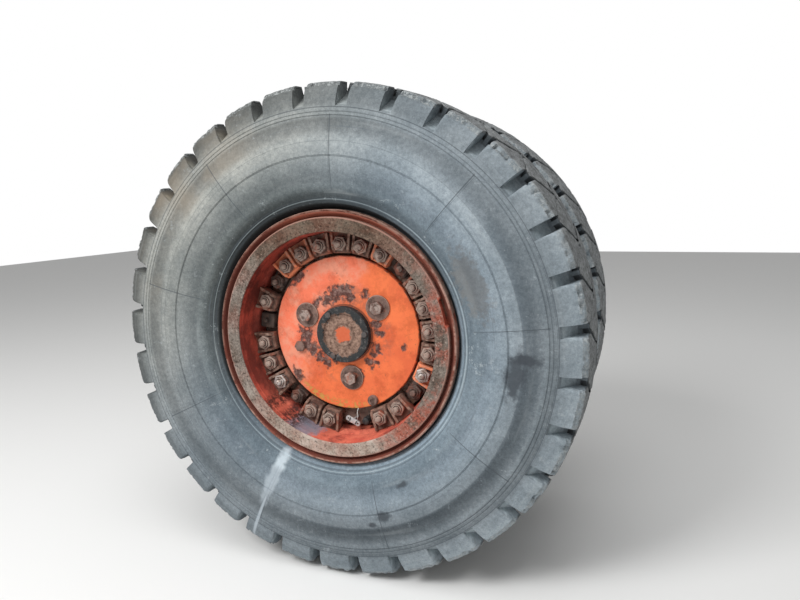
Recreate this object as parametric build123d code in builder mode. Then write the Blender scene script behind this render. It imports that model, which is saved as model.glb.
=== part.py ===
from build123d import *
import math
import os

# Rear dual wheel end of a rigid dump truck, in millimetres.
# The wheel turns about Y. The origin is the centre of the axle flange's mating face,
# the outer side of the vehicle is towards -Y, and +Z is up.
# Angles named "clock" are degrees clockwise from the top, seen from the outer side.

# Tyres
tyre_od = 1875.0
tyre_width = 498.0
tread_width = 430.0
crown_drop = 12.0
lug_count = 32
lug_gap = 46.0
notch_from_mid = 150.0
notch_deep = 47.5
shoulder_deep = 97.5
groove_wide = 18.0
groove_deep = 37.5
groove_shift = 12.0
shoulder_half = 243.0
widest_share = 0.456
lower_share = 0.137
lower_half = 222.0
outer_notch_deg = 6.1
inner_notch_deg = 9.8
dual_gap = 82.0

# Rims: a base with a fixed back flange, a loose side ring and a lock ring
rim_width = 330.2
bead_r = 419.1
flange_h = 63.5
flange_lip = 38.0
flange_wall = 10.0
base_wall = 17.1
rib_high = 12.0
rib_from_mid = 77.0
bevel_deg = 28.0
lock_wall = 36.9
pry_notch_deg = 75.0
pry_notch_wide = 104.0
pry_notch_deep = 8.0

# Hub, its clamp studs and what they hold
hub_room = 12.0
stud_flange_from_mid = 40.0
stud_edge = 26.0
station_step_deg = 14.08
first_station_deg = 191.5
station_count = 24
bare_index = (2, 8, 15, 21)
pad_index = 6
clamp_foot = 38.0
clamp_heel = 18.0
clamp_nose = 15.0
clamp_slope = 14.0
clamp_past_rib = 27.0
clamp_pocket_deep = 10.0
clamp_pocket_sides = 6.0
clamp_pocket_ends = 16.0
clamp_gap = 10.5
nut_flats = 50.0
nut_high = 26.0
bare_plate = 60.0
bare_plate_high = 26.0
pad_wide = 60.0
pad_high = 34.0
pad_key = 14.0
valve_deg = 167.0
valve_wide = 32.0
valve_high = 56.0
bracket_deg = 176.0
bracket_long = 66.0
bracket_wide = 22.0
bracket_wall = 6.0
bracket_high = 44.0
bracket_lean_deg = 30.0
seat_wide = 40.0
barrel_wall = 19.0
hollow_deep = 285.0
boss_r = 168.0
boss_from_outer = 220.0
boss_past_inner = 130.0

# Planet carrier cover and its fittings
cover_room = 10.0
cover_front = 78.0
cover_bolt_edge = 128.0
cover_bolt_deg = (52.7, 172.7, 292.7)
washer_r = 49.0
washer_high = 7.0
bolt_flats = 46.0
bolt_high = 20.0
cap_room = 17.0
cap_high = 30.0
cap_rim = 30.0
cap_dish_deep = 8.0
cap_bolt_edge = 16.0
cap_bolt_deg = (324.0, 86.0, 206.0)
cap_bolt_flats = 22.0
cap_bolt_high = 8.0
hex_plug_edge = 96.0
hex_plug_deg = 253.0
hex_plug_flats = 40.0
drain_plug_edge = 22.0
drain_plug_deg = 157.0
drain_plug_r = 21.0
plug_high = 14.0

# Spindle, axle flange, shield and drive shaft
flange_to_inner = 320.0
axle_flange_edge = 30.0
axle_flange_wall = 45.0
axle_bolt_pcd = 420.0
axle_bolt_count = 12
axle_bolt_r = 13.0
journal_r = 118.0
spindle_root_r = 150.0
shaft_bore_r = 62.0
shaft_r = 42.0
shaft_stub = 160.0
shaft_grip = 80.0
shield_wall = 8.0
shield_inset = 29.0
shield_room = 14.0

# Clearances
running_fit = 0.05
seat_gap = 0.3
lock_gap = 0.6
clamp_room = 2.0
rubber_gap = 3.0
body_gap = 6.0

# Radii that follow from them, from the rim inward and then outward
bore_r = bead_r - base_wall
rib_r = bore_r - rib_high
hub_r = rib_r - hub_room
stud_pitch_r = hub_r - stud_edge
clamp_in_r = stud_pitch_r - clamp_foot
cover_r = clamp_in_r - cover_room
cover_bolt_r = cover_r - cover_bolt_edge
cap_r = cover_bolt_r - washer_r - cap_room
hollow_r = hub_r - barrel_wall
axle_flange_r = axle_bolt_pcd / 2 + axle_flange_edge
lock_outer_r = bead_r + lock_wall
curl_r = lock_outer_r + lock_gap
flange_r = bead_r + flange_h
tyre_r = tyre_od / 2
lower_r = flange_r + lower_share * (tyre_r - flange_r)
widest_r = flange_r + widest_share * (tyre_r - flange_r)
shoulder_r = tyre_r - shoulder_deep
notch_floor_r = tyre_r - notch_deep
groove_r = tyre_r - groove_deep

# Places along Y that follow from them
dual_spacing = tyre_width + dual_gap
inner_mid = -flange_to_inner
outer_mid = inner_mid - dual_spacing
stud_face = outer_mid - stud_flange_from_mid
clamp_front = rib_from_mid + clamp_past_rib
clamp_floor = clamp_front - clamp_pocket_deep
lip_half = rim_width / 2 + flange_lip
flange_back = rim_width / 2 + flange_wall
seat_end = inner_mid + flange_back

os.makedirs("parts", exist_ok=True)


def save(node, label):
    node.part.label = label
    export_step(node.part, f"parts/{label}.step")


def clocked(radius, clocks):
    """Places on a circle in a sketch that faces outward; local x points away from the axis."""
    return [
        Location(
            (radius * math.sin(math.radians(c)), radius * math.cos(math.radians(c)), 0),
            (0, 0, 90 - c),
        )
        for c in clocks
    ]


def turned(clocks):
    """Turns about the wheel's axis, which carry a piece made at the top round to each clock angle."""
    return [Location((0, 0, 0), (0, c, 0)) for c in clocks]


def ring(points, middle=0.0):
    """A ring turned about Y from an outline of (radius, distance from the middle)."""
    with BuildPart() as made:
        with BuildSketch(Plane.XY):
            with BuildLine():
                Polyline(*[(r, middle + y) for r, y in points], close=True)
            make_face()
        revolve(axis=Axis.Y)
    return made.part


stations = [first_station_deg + station_step_deg * i for i in range(station_count)]
bare_stations = [stations[i] for i in bare_index]
pad_station = stations[pad_index]
clamp_stations = [c for c in stations if c not in bare_stations and c != pad_station]


# Tyre: one pitch is a flat block with a notch in each shoulder, and the pitches go round. From pitch
# to pitch a groove leans across the tread, from a near notch to the far side's next one.
def tyre(middle, first_notch_deg):
    half_width = tyre_width / 2
    half_pitch_deg = 180 / lug_count
    half_pitch = tyre_r * math.tan(math.radians(half_pitch_deg))
    groove_lean = half_pitch - groove_shift
    notch_end = half_width + lug_gap
    half = [
        (bead_r + seat_gap, rim_width / 2 - seat_gap),
        (flange_r + rubber_gap, rim_width / 2 - seat_gap),
        (lower_r, lower_half),
        (widest_r, half_width),
        (shoulder_r, shoulder_half),
        (tyre_r - crown_drop, tread_width / 2),
    ]
    with BuildPart() as groove:
        with BuildSketch(Plane.XY.offset(groove_r)):
            with BuildLine():
                Polyline(
                    (-groove_lean - groove_wide / 2, middle - notch_from_mid),
                    (-groove_lean + groove_wide / 2, middle - notch_from_mid),
                    (groove_lean + groove_wide / 2, middle + notch_from_mid),
                    (groove_lean - groove_wide / 2, middle + notch_from_mid),
                    close=True,
                )
            make_face()
        extrude(amount=2 * groove_deep)
    with BuildPart() as pitch:
        with BuildSketch(Plane.YZ):
            with BuildLine():
                left = [(middle - y, r) for r, y in half]
                right = [(middle + y, r) for r, y in reversed(half)]
                Polyline(*left, (middle, tyre_r), *right, close=True)
            make_face()
        extrude(amount=half_pitch, both=True)
        with BuildSketch(Plane.XZ.offset(-middle)):
            with BuildLine():
                Polyline((0, 0), (-2 * half_pitch, tyre_od), (2 * half_pitch, tyre_od), close=True)
            make_face()
        extrude(amount=tyre_width, both=True, mode=Mode.INTERSECT)
        with BuildSketch(Plane.YZ.offset(-lug_gap / 2)):
            for side in (-1, 1):
                with BuildLine():
                    Polyline(
                        (middle + side * notch_from_mid, notch_floor_r),
                        (middle + side * shoulder_half, shoulder_r),
                        (middle + side * notch_end, shoulder_r),
                        (middle + side * notch_end, tyre_od),
                        (middle + side * notch_from_mid, tyre_od),
                        close=True,
                    )
                make_face()
        extrude(amount=lug_gap, mode=Mode.SUBTRACT)
        with Locations(*turned([-half_pitch_deg, half_pitch_deg])):
            add(groove.part, mode=Mode.SUBTRACT)
    with BuildPart() as made:
        with Locations(*turned([first_notch_deg + 2 * half_pitch_deg * i for i in range(lug_count)])):
            add(pitch.part)
    return made


outer_tyre = tyre(outer_mid, outer_notch_deg)
save(outer_tyre, "outer_tyre")
inner_tyre = tyre(inner_mid, inner_notch_deg)
save(inner_tyre, "inner_tyre")

# Outer rim: a base with its back flange and the bevel that the clamps wedge under, a loose side
# flange and a lock ring
bevel_run = (bore_r - rib_r) / math.tan(math.radians(bevel_deg))
with BuildPart() as outer_rim_base:
    outline = [
        (bore_r, -lip_half),
        (bead_r, -lip_half),
        (bead_r, rim_width / 2),
        (flange_r, rim_width / 2),
        (flange_r, flange_back),
        (rib_r, flange_back),
        (rib_r, -rib_from_mid),
        (bore_r, -rib_from_mid - bevel_run),
    ]
    add(ring(outline, outer_mid))
save(outer_rim_base, "outer_rim_base")

with BuildPart() as side_flange:
    outline = [
        (bead_r + seat_gap, -rim_width / 2),
        (flange_r, -rim_width / 2),
        (flange_r, -lip_half),
        (flange_r - flange_wall, -lip_half),
        (curl_r, -flange_back),
        (bead_r + seat_gap, -flange_back),
    ]
    add(ring(outline, outer_mid))
save(side_flange, "outer_rim_side_flange")

with BuildPart() as lock_ring:
    outline = [
        (bead_r + seat_gap, -flange_back),
        (lock_outer_r, -flange_back),
        (lock_outer_r, -lip_half),
        (bead_r + seat_gap, -lip_half),
    ]
    add(ring(outline, outer_mid))
    with BuildSketch(Plane.XZ.offset(flange_back - outer_mid)):
        with Locations(*clocked(lock_outer_r, [pry_notch_deg])):
            Rectangle(pry_notch_deep * 2, pry_notch_wide)
    extrude(amount=lip_half, mode=Mode.SUBTRACT)
save(lock_ring, "outer_rim_lock_ring")

# Inner rim, one ring with both flanges
with BuildPart() as inner_rim:
    outline = [
        (bore_r, -flange_back),
        (flange_r, -flange_back),
        (flange_r, -rim_width / 2),
        (bead_r, -rim_width / 2),
        (bead_r, rim_width / 2),
        (flange_r, rim_width / 2),
        (flange_r, flange_back),
        (bore_r, flange_back),
    ]
    add(ring(outline, inner_mid))
save(inner_rim, "inner_rim")

# Spacer band, end to end between the two rims
with BuildPart() as spacer_band:
    outline = [
        (rib_r, flange_back - dual_spacing / 2),
        (bead_r, flange_back - dual_spacing / 2),
        (bead_r, dual_spacing / 2 - flange_back),
        (rib_r, dual_spacing / 2 - flange_back),
    ]
    add(ring(outline, (inner_mid + outer_mid) / 2))
save(spacer_band, "spacer_band")

# Hub: stud flange in front, barrel under the rims, seat for the inner rim at the back, and in its
# hollow the boss that turns on the spindle
boss_start = outer_mid + boss_from_outer
boss_end = inner_mid + boss_past_inner
shaft_end = boss_start - shaft_grip
with BuildPart() as hub:
    outline = [
        (0, stud_face),
        (hub_r, stud_face),
        (hub_r, seat_end - seat_wide),
        (bore_r - seat_gap, seat_end - seat_wide),
        (bore_r - seat_gap, seat_end),
        (hollow_r, seat_end),
        (hollow_r, seat_end - hollow_deep),
        (boss_r, seat_end - hollow_deep),
        (boss_r, boss_end),
        (journal_r + running_fit, boss_end),
        (journal_r + running_fit, boss_start),
        (shaft_r + running_fit, boss_start),
        (shaft_r + running_fit, shaft_end),
        (0, shaft_end),
    ]
    add(ring(outline))
save(hub, "hub")

# Wedge clamp: its heel sits on the stud flange, its nose wedges under the rim's bevel
half_step = math.radians(station_step_deg / 2)


def flat_r(corner_r):
    """Where a flat lies whose corners, half a gap from the next clamp, reach the given radius."""
    half_wide = corner_r * math.sin(half_step) - clamp_gap / 2
    return math.sqrt(corner_r**2 - half_wide**2)


def wide_at(r):
    return 2 * r * math.tan(half_step) - clamp_gap


bevel_slope = bevel_run / (bore_r - rib_r)
clamp_out_r = flat_r(bore_r - clamp_room)
wedge_in_r = flat_r(rib_r)
wedge_in_y = outer_mid - rib_from_mid - seat_gap
wedge_out_y = wedge_in_y - bevel_slope * (clamp_out_r - wedge_in_r)
nose_r = flat_r(rib_r - clamp_room)
nose_y = outer_mid - rib_from_mid + clamp_nose
heel_r = clamp_in_r + clamp_heel
with BuildPart() as clamp:
    with BuildSketch(Plane.YZ):
        with BuildLine():
            Polyline(
                (outer_mid - clamp_floor, clamp_in_r),
                (outer_mid - clamp_front, clamp_in_r + clamp_slope),
                (outer_mid - clamp_front, clamp_out_r),
                (wedge_out_y, clamp_out_r),
                (wedge_in_y, wedge_in_r),
                (nose_y, nose_r),
                (nose_y, heel_r),
                (stud_face, heel_r),
                (stud_face, clamp_in_r),
                close=True,
            )
        make_face()
    extrude(amount=wide_at(clamp_out_r), both=True)
    with BuildSketch(Plane.XZ.offset(-stud_face)):
        with BuildLine():
            Polyline(
                (-wide_at(clamp_in_r) / 2, clamp_in_r),
                (wide_at(clamp_in_r) / 2, clamp_in_r),
                (wide_at(clamp_out_r) / 2, clamp_out_r),
                (-wide_at(clamp_out_r) / 2, clamp_out_r),
                close=True,
            )
        make_face()
    extrude(amount=clamp_front, mode=Mode.INTERSECT)
    with BuildSketch(Plane.XZ.offset(clamp_floor - outer_mid)):
        with Locations((0, stud_pitch_r)):
            Rectangle(nut_flats + clamp_pocket_sides, nut_flats + clamp_pocket_ends)
    extrude(amount=clamp_pocket_deep, mode=Mode.SUBTRACT)

with BuildPart() as wedge_clamps:
    with Locations(*turned(clamp_stations)):
        add(clamp.part)
save(wedge_clamps, "wedge_clamps")

with BuildPart() as clamp_nuts:
    with BuildSketch(Plane.XZ.offset(clamp_floor - outer_mid)):
        with Locations(*clocked(stud_pitch_r, clamp_stations)):
            RegularPolygon(nut_flats / 2, 6, major_radius=False)
    extrude(amount=nut_high)
save(clamp_nuts, "clamp_nuts")

# Stations with no clamp: a square plate on the stud flange, and the nut on it
with BuildPart() as bare_studs:
    with BuildSketch(Plane.XZ.offset(-stud_face)):
        with Locations(*clocked(stud_pitch_r, bare_stations)):
            Rectangle(bare_plate, bare_plate)
    extrude(amount=bare_plate_high)
    with BuildSketch(Plane.XZ.offset(bare_plate_high - stud_face)):
        with Locations(*clocked(stud_pitch_r, bare_stations)):
            RegularPolygon(nut_flats / 2, 6, major_radius=False)
    extrude(amount=nut_high)
save(bare_studs, "bare_studs")

# Stop pad, where one clamp is missing
with BuildPart() as stop_pad:
    with BuildSketch(Plane.XZ.offset(-stud_face)):
        with Locations(*clocked(stud_pitch_r, [pad_station])):
            Rectangle(pad_wide, pad_wide)
    extrude(amount=pad_high)
    with BuildSketch(Plane.XZ.offset(pad_high - stud_face)):
        with Locations(*clocked(stud_pitch_r, [pad_station])):
            Rectangle(pad_key, pad_key)
    extrude(amount=pad_key)
save(stop_pad, "stop_pad")

# Valve ends in the gap between the clamps: the near one, and a bracket that holds the other
with BuildPart() as valve_stem:
    with BuildSketch(Plane.XZ.offset(-stud_face)):
        with Locations(*clocked(stud_pitch_r, [valve_deg])):
            RegularPolygon(valve_wide / 2, 8)
    extrude(amount=valve_high)
save(valve_stem, "valve_stem")

with BuildPart() as valve_bracket:
    with BuildSketch(Plane.XZ.offset(-stud_face)):
        with Locations(*clocked(stud_pitch_r, [bracket_deg])):
            Rectangle(bracket_wide, bracket_wall, rotation=-bracket_lean_deg)
    extrude(amount=bracket_high)
    with BuildSketch(Plane.XZ.offset(bracket_high - stud_face)):
        with Locations(*clocked(stud_pitch_r, [bracket_deg])):
            Rectangle(bracket_wide, bracket_long, rotation=-bracket_lean_deg)
    extrude(amount=bracket_wall)
save(valve_bracket, "valve_bracket")

# Planet carrier cover, whose back face closes the hub
cover_y = outer_mid - cover_front
with BuildPart() as hub_cover:
    with BuildSketch(Plane.XZ.offset(-cover_y)):
        Circle(cover_r)
    extrude(amount=cover_y - stud_face)
save(hub_cover, "hub_cover")

with BuildPart() as cover_bolts:
    with BuildSketch(Plane.XZ.offset(-cover_y)):
        with Locations(*clocked(cover_bolt_r, cover_bolt_deg)):
            Circle(washer_r)
    extrude(amount=washer_high)
    with BuildSketch(Plane.XZ.offset(washer_high - cover_y)):
        with Locations(*clocked(cover_bolt_r, cover_bolt_deg)):
            RegularPolygon(bolt_flats / 2, 6, major_radius=False)
    extrude(amount=bolt_high)
save(cover_bolts, "cover_bolts")

cap_y = cover_y - cap_high
cap_dish_r = cap_r - cap_rim
with BuildPart() as centre_cap:
    outline = [
        (0, cover_y),
        (cap_r, cover_y),
        (cap_r, cap_y),
        (cap_dish_r, cap_y),
        (cap_dish_r, cap_y + cap_dish_deep),
        (0, cap_y + cap_dish_deep),
    ]
    add(ring(outline))
    with BuildSketch(Plane.XZ.offset(-cap_y)):
        with Locations(*clocked(cap_r - cap_bolt_edge, cap_bolt_deg)):
            RegularPolygon(cap_bolt_flats / 2, 6, major_radius=False)
    extrude(amount=cap_bolt_high)
save(centre_cap, "centre_cap")

with BuildPart() as cover_plugs:
    with BuildSketch(Plane.XZ.offset(-cover_y)):
        with Locations(*clocked(cover_r - hex_plug_edge, [hex_plug_deg])):
            RegularPolygon(hex_plug_flats / 2, 6, major_radius=False)
        with Locations(*clocked(cover_r - drain_plug_edge, [drain_plug_deg])):
            Circle(drain_plug_r)
    extrude(amount=plug_high)
save(cover_plugs, "cover_plugs")

# Spindle: hollow journal and axle flange, with the drive shaft through its bore
with BuildPart() as spindle:
    outline = [
        (shaft_bore_r, boss_start + body_gap),
        (journal_r, boss_start + body_gap),
        (journal_r, boss_end + body_gap),
        (spindle_root_r, boss_end + body_gap),
        (spindle_root_r, -axle_flange_wall),
        (axle_flange_r, -axle_flange_wall),
        (axle_flange_r, 0),
        (shaft_bore_r, 0),
    ]
    add(ring(outline))
    with BuildSketch(Plane.XZ):
        with PolarLocations(axle_bolt_pcd / 2, axle_bolt_count):
            Circle(axle_bolt_r)
    extrude(amount=axle_flange_wall, mode=Mode.SUBTRACT)
save(spindle, "spindle")

# Shield, pressed on the spindle's root, that closes the hub's hollow
shield_y = seat_end - shield_inset
with BuildPart() as brake_shield:
    outline = [
        (spindle_root_r, shield_y),
        (hollow_r - shield_room, shield_y),
        (hollow_r - shield_room, shield_y + shield_wall),
        (spindle_root_r, shield_y + shield_wall),
    ]
    add(ring(outline))
save(brake_shield, "brake_shield")

# Drive shaft: its outer end runs in the hub, its inner end stands out for the differential
with BuildPart() as drive_shaft:
    with BuildSketch(Plane.XZ.offset(-shaft_end - body_gap)):
        Circle(shaft_r)
    extrude(amount=shaft_end + body_gap - shaft_stub)
save(drive_shaft, "drive_shaft")
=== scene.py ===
# %% [markdown]
# # The rear dual wheel of a rigid dump truck
#
# The CAD model gives every piece its place and size. This lesson dresses it: worn tyres, rusty rims,
# wedge clamps with their nuts, and the orange cover of the hub. Everything is in metres, +Z is up and
# the wheel turns about Y, with its outer side towards -Y.

# %% Load the CAD frame
import math
import random
import bmesh
import bpy
from mathutils import Matrix, Vector, noise


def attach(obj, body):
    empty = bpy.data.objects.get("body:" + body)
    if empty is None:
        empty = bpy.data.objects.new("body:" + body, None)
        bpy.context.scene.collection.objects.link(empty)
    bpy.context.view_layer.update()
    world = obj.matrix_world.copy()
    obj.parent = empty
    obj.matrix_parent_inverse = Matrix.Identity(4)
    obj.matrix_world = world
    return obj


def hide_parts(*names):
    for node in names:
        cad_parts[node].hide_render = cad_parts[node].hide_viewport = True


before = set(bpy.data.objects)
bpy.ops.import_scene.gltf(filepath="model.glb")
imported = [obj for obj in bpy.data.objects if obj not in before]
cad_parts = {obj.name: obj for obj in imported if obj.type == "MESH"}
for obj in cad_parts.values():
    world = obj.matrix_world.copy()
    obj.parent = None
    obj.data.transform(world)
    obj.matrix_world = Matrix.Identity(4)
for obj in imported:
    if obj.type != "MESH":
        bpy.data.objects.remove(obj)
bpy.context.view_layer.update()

# %% [markdown]
# A few places along the axle carry all the others. The tyre's middle plane is the best one to measure
# from, because the rim and the tyre are symmetric about it. An angle on the wheel is called a clock
# angle here: degrees clockwise from the top, seen from the outer side.

# %% Places that the pieces share
OUTER_MID = -0.900
INNER_MID = -0.320
STUD_FACE = -0.940
CLAMP_FLAT = -0.994
COVER_FACE = -0.978
CAP_FACE = -1.008
STUD_R = 0.352
CROWN_R = 0.9375
LUGS = 32
PITCH = 360 / LUGS
STATION_STEP = 14.08
STATIONS = [191.5 + STATION_STEP * i for i in range(24)]
BARE = [STATIONS[i] for i in (2, 8, 15, 21)]
PAD = STATIONS[6]
CLAMPED = [c for c in STATIONS if c not in BARE and c != PAD]


def on_wheel(radius, clock, y):
    """The point at a radius and a clock angle, at a place along the axle."""
    angle = math.radians(clock)
    return Vector((radius * math.sin(angle), y, radius * math.cos(angle)))


def facing_out(radius, clock, y, twist=0):
    """A place on the wheel whose Z points outward and whose X points away from the axle."""
    away = on_wheel(1, clock, 0)
    out = Vector((0, -1, 0))
    turn = Matrix((away, out.cross(away), out)).transposed().to_4x4()
    spin = Matrix.Rotation(math.radians(twist), 4, "Z")
    return Matrix.Translation(on_wheel(radius, clock, y)) @ turn @ spin


print(len(CLAMPED), "clamps and", len(BARE), "bare studs")

# %% [markdown]
# ## A small language for finishes
#
# A finish is a graph of nodes. Writing one link at a time hides the idea, so one class wraps a socket
# and lets it be used in a sum. Numbers become Math nodes, vectors become Vector Math nodes, and colours
# become Mix nodes, since a Math node would turn a colour grey. Most masks are a value cut off softly at
# one or two levels, so a value has methods for that.

# %% Sockets that can be added and multiplied
class Value:
    """One output socket of a graph, usable in an expression."""

    def __init__(self, graph, socket):
        self.graph = graph
        self.socket = socket

    def worked(self, operation, first, second):
        kinds = {v.socket.type for v in (first, second) if isinstance(v, Value)}
        if "RGBA" in kinds:
            return self.graph.mix(first, second, 1.0, operation)
        kind = "ShaderNodeVectorMath" if "VECTOR" in kinds else "ShaderNodeMath"
        return self.graph.node(kind, {"operation": operation}, {0: first, 1: second})

    def __add__(self, other):
        return self.worked("ADD", self, other)

    def __radd__(self, other):
        return self.worked("ADD", other, self)

    def __sub__(self, other):
        return self.worked("SUBTRACT", self, other)

    def __rsub__(self, other):
        return self.worked("SUBTRACT", other, self)

    def __mul__(self, other):
        return self.worked("MULTIPLY", self, other)

    def __rmul__(self, other):
        return self.worked("MULTIPLY", other, self)

    def other(self, output):
        """Another output of the same node."""
        return Value(self.graph, self.socket.node.outputs[output])

    def ramp(self, low, high):
        """0 below low and 1 above high, with a soft step between them."""
        settings = {"interpolation_type": "SMOOTHSTEP", "clamp": True}
        return self.graph.node("ShaderNodeMapRange", settings, {0: self, 1: low, 2: high})

    def between(self, low, high, soft):
        """1 where the value lies between two limits, with soft ends."""
        return self.ramp(low - soft, low + soft) * (1 - self.ramp(high - soft, high + soft))

    def under(self, paint, share):
        """This colour with a paint over a share of it."""
        return self.graph.mix(self, paint, share)


def either(first, second):
    """The larger of two masks."""
    return first.graph.maths("MAXIMUM", first, second)


print("sums become nodes")

# %% [markdown]
# A second class is the graph itself. One method makes any node: its settings come first, because some
# of them change which sockets there are. The other methods are the nodes that finishes use most.

# %% A graph of nodes
class Graph:
    """A tree of nodes, all of which come from one method."""

    def __init__(self, tree):
        self.tree = tree

    def node(self, kind, settings, inputs, output=0):
        """Any node: its settings first, then the values or links of its sockets."""
        made = self.tree.nodes.new(kind)
        for key, setting in settings.items():
            setattr(made, key, setting)
        for key, given in inputs.items():
            if isinstance(given, Value):
                self.tree.links.new(given.socket, made.inputs[key])
            else:
                made.inputs[key].default_value = given
        return Value(self, made.outputs[output])

    def maths(self, operation, *given):
        """A Math node for what has no sign in Python, such as the larger of two numbers."""
        return self.node("ShaderNodeMath", {"operation": operation}, dict(enumerate(given)))

    def mix(self, first, second, factor, blend="MIX"):
        """Two colours by a factor. A single number stands for a grey."""
        inputs = {0: factor}
        for slot, colour in ((6, first), (7, second)):
            if not isinstance(colour, Value):
                colour = (*colour, 1.0) if hasattr(colour, "__len__") else (colour, colour, colour, 1.0)
            inputs[slot] = colour
        return self.node("ShaderNodeMix", {"data_type": "RGBA", "blend_type": blend}, inputs, 2)

    def grey(self, level):
        """A number as a colour."""
        return self.node("ShaderNodeCombineColor", {}, {0: level, 1: level, 2: level})

    def bands(self, value, stops):
        """A colour that changes evenly from stop to stop, where a stop is a value and its colour."""
        made = self.node("ShaderNodeValToRGB", {}, {0: value})
        elements = made.socket.node.color_ramp.elements
        elements[0].position, elements[-1].position = stops[0][0], stops[-1][0]
        for at, colour in stops[1:-1]:
            elements.new(at)
        for element, (at, colour) in zip(elements, stops):
            element.color = (*colour, 1.0)
        return made


print("one method makes every node")

# %% [markdown]
# A finish is a material on such a graph. Its patterns are laid on in the wheel's own polar coordinates,
# so that a ring of dirt is a ring and everything turns with the wheel.

# %% A finish and its polar coordinates
class Finish(Graph):
    """A material with a Principled shader, and the patterns that feed it."""

    def __init__(self, name, roughness=0.7, metallic=0.0, specular=0.4):
        self.material = bpy.data.materials.new(name)
        self.material.use_nodes = True
        super().__init__(self.material.node_tree)
        self.shader = self.tree.nodes["Principled BSDF"]
        settings = {"Roughness": roughness, "Metallic": metallic, "Specular IOR Level": specular}
        for socket, setting in settings.items():
            self.shader.inputs[socket].default_value = setting
        self.place = self.node("ShaderNodeTexCoord", {}, {}, "Object")

    def polar(self):
        """The distance from the axle, the clock angle, and the place along the axle."""
        x = self.node("ShaderNodeSeparateXYZ", {}, {"Vector": self.place})
        y, z = x.other(1), x.other(2)
        radius = self.maths("SQRT", x * x + z * z)
        clock = self.maths("ARCTAN2", x, z) * (180 / math.pi)
        return radius, self.maths("FLOORED_MODULO", clock, 360.0), y

    def dress(self, colour, height=None, strength=0.5, distance=0.002, roughness=None, metallic=None):
        """Feeds the shader what changes over the surface. A height raises it through a Bump node."""
        fed = {"Base Color": colour, "Roughness": roughness, "Metallic": metallic}
        if height is not None:
            inputs = {"Height": height, "Strength": strength, "Distance": distance}
            fed["Normal"] = self.node("ShaderNodeBump", {}, inputs)
        for socket, given in fed.items():
            if given is not None:
                self.tree.links.new(given.socket, self.shader.inputs[socket])
        return self


print("finishes are written as sums")

# %% [markdown]
# Real wear is never even: it comes in clouds, spots, scratches and rings. Noise at different scales
# gives the clouds and grain, and a spot is a distance from one point whose edge the noise makes ragged.

# %% Patterns of wear
def cloud(finish, scale, detail=4.0, rough=0.55, stretch=(1, 1, 1)):
    """Uneven noise from 0 to 1, scale in waves per metre, stretched along an axis by a small factor."""
    place = finish.place * stretch
    inputs = {"Vector": place, "Scale": scale, "Detail": detail, "Roughness": rough}
    return finish.node("ShaderNodeTexNoise", {}, inputs)


def patches(finish, low, high, scale, detail=4.0, rough=0.55):
    """Patches with borders: the clouds, cut off between two levels."""
    return cloud(finish, scale, detail, rough).ramp(low, high)


def blotched(finish, first, second, *patch):
    """Two colours in patches."""
    return finish.mix(first, second, patches(finish, *patch))


def spot(finish, radius, clock, size, ragged=0.5, soft=0.35, scale=25.0, squeeze=1.0):
    """1 inside a ragged spot. squeeze makes it narrow across the radius."""
    centre = on_wheel(radius, clock, 0)
    settings = {"vector_type": "POINT"}
    turn = (0, -math.radians(clock), 0)
    inputs = {"Vector": finish.place - centre, "Rotation": turn}
    local = finish.node("ShaderNodeMapping", settings, inputs) * (squeeze / size, 0, 1 / size)
    reach = finish.node("ShaderNodeVectorMath", {"operation": "LENGTH"}, {0: local}, 1)
    edge = reach + (cloud(finish, scale) - 0.5) * (2 * ragged)
    return 1 - edge.ramp(1 - soft, 1 + soft)


def over_top(clock, start, full, fade, end):
    """1 over the top of the wheel, from one soft end on the clock to another past 360."""
    return either(clock.ramp(start, full), 1 - clock.ramp(fade, end))


print("wear comes as clouds, spots and rings")

# %% [markdown]
# ## Making meshes
#
# Most of the pieces are turned on a lathe, and the rest are short bars and hexagons. A mesh is collected
# in a Shape, a list of corners and a list of faces, so that nineteen nuts can be one object. Sharp
# corners catch no light, so outlines get rounded corners and bars are bevelled.

# %% A shape and the piece made from it
class Shape:
    """Corners and faces of one or more closed solids."""

    def __init__(self):
        self.corners = []
        self.faces = []

    def add(self, corners, faces, place=None):
        start = len(self.corners)
        self.corners += [place @ Vector(c) if place else Vector(c) for c in corners]
        self.faces += [[start + i for i in face] for face in faces]

    def copies(self, other, places=(None,)):
        for place in places:
            self.add(other.corners, other.faces, place)
        return self


def show(name, shape, finish, sharp=38.0):
    """A visible piece that turns with the wheel. Edges bent by more than sharp degrees stay sharp."""
    mesh = bpy.data.meshes.new(name)
    mesh.from_pydata([tuple(c) for c in shape.corners], [], shape.faces)
    work = bmesh.new()
    work.from_mesh(mesh)
    bmesh.ops.recalc_face_normals(work, faces=work.faces)
    work.to_mesh(mesh)
    work.free()
    mesh.polygons.foreach_set("use_smooth", [True] * len(mesh.polygons))
    mesh.set_sharp_from_angle(angle=math.radians(sharp))
    mesh.materials.append(finish.material)
    made = bpy.data.objects.new(name, mesh)
    bpy.context.scene.collection.objects.link(made)
    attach(made, "wheel")
    print(name, len(mesh.polygons), "faces")
    return made


def replaced(name, shape, finish, node, sharp=38.0):
    """A visible piece that stands for a CAD node."""
    made = show(name, shape, finish, sharp)
    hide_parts(node)


print("pieces are shown one by one, with their number of faces")

# %% [markdown]
# A lathe needs only an outline of radius and place along the axle. A corner is rounded by a short curve
# that leaves each side at the same distance from it.

# %% Outlines and the lathe
CURVE_STEPS = 4


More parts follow.
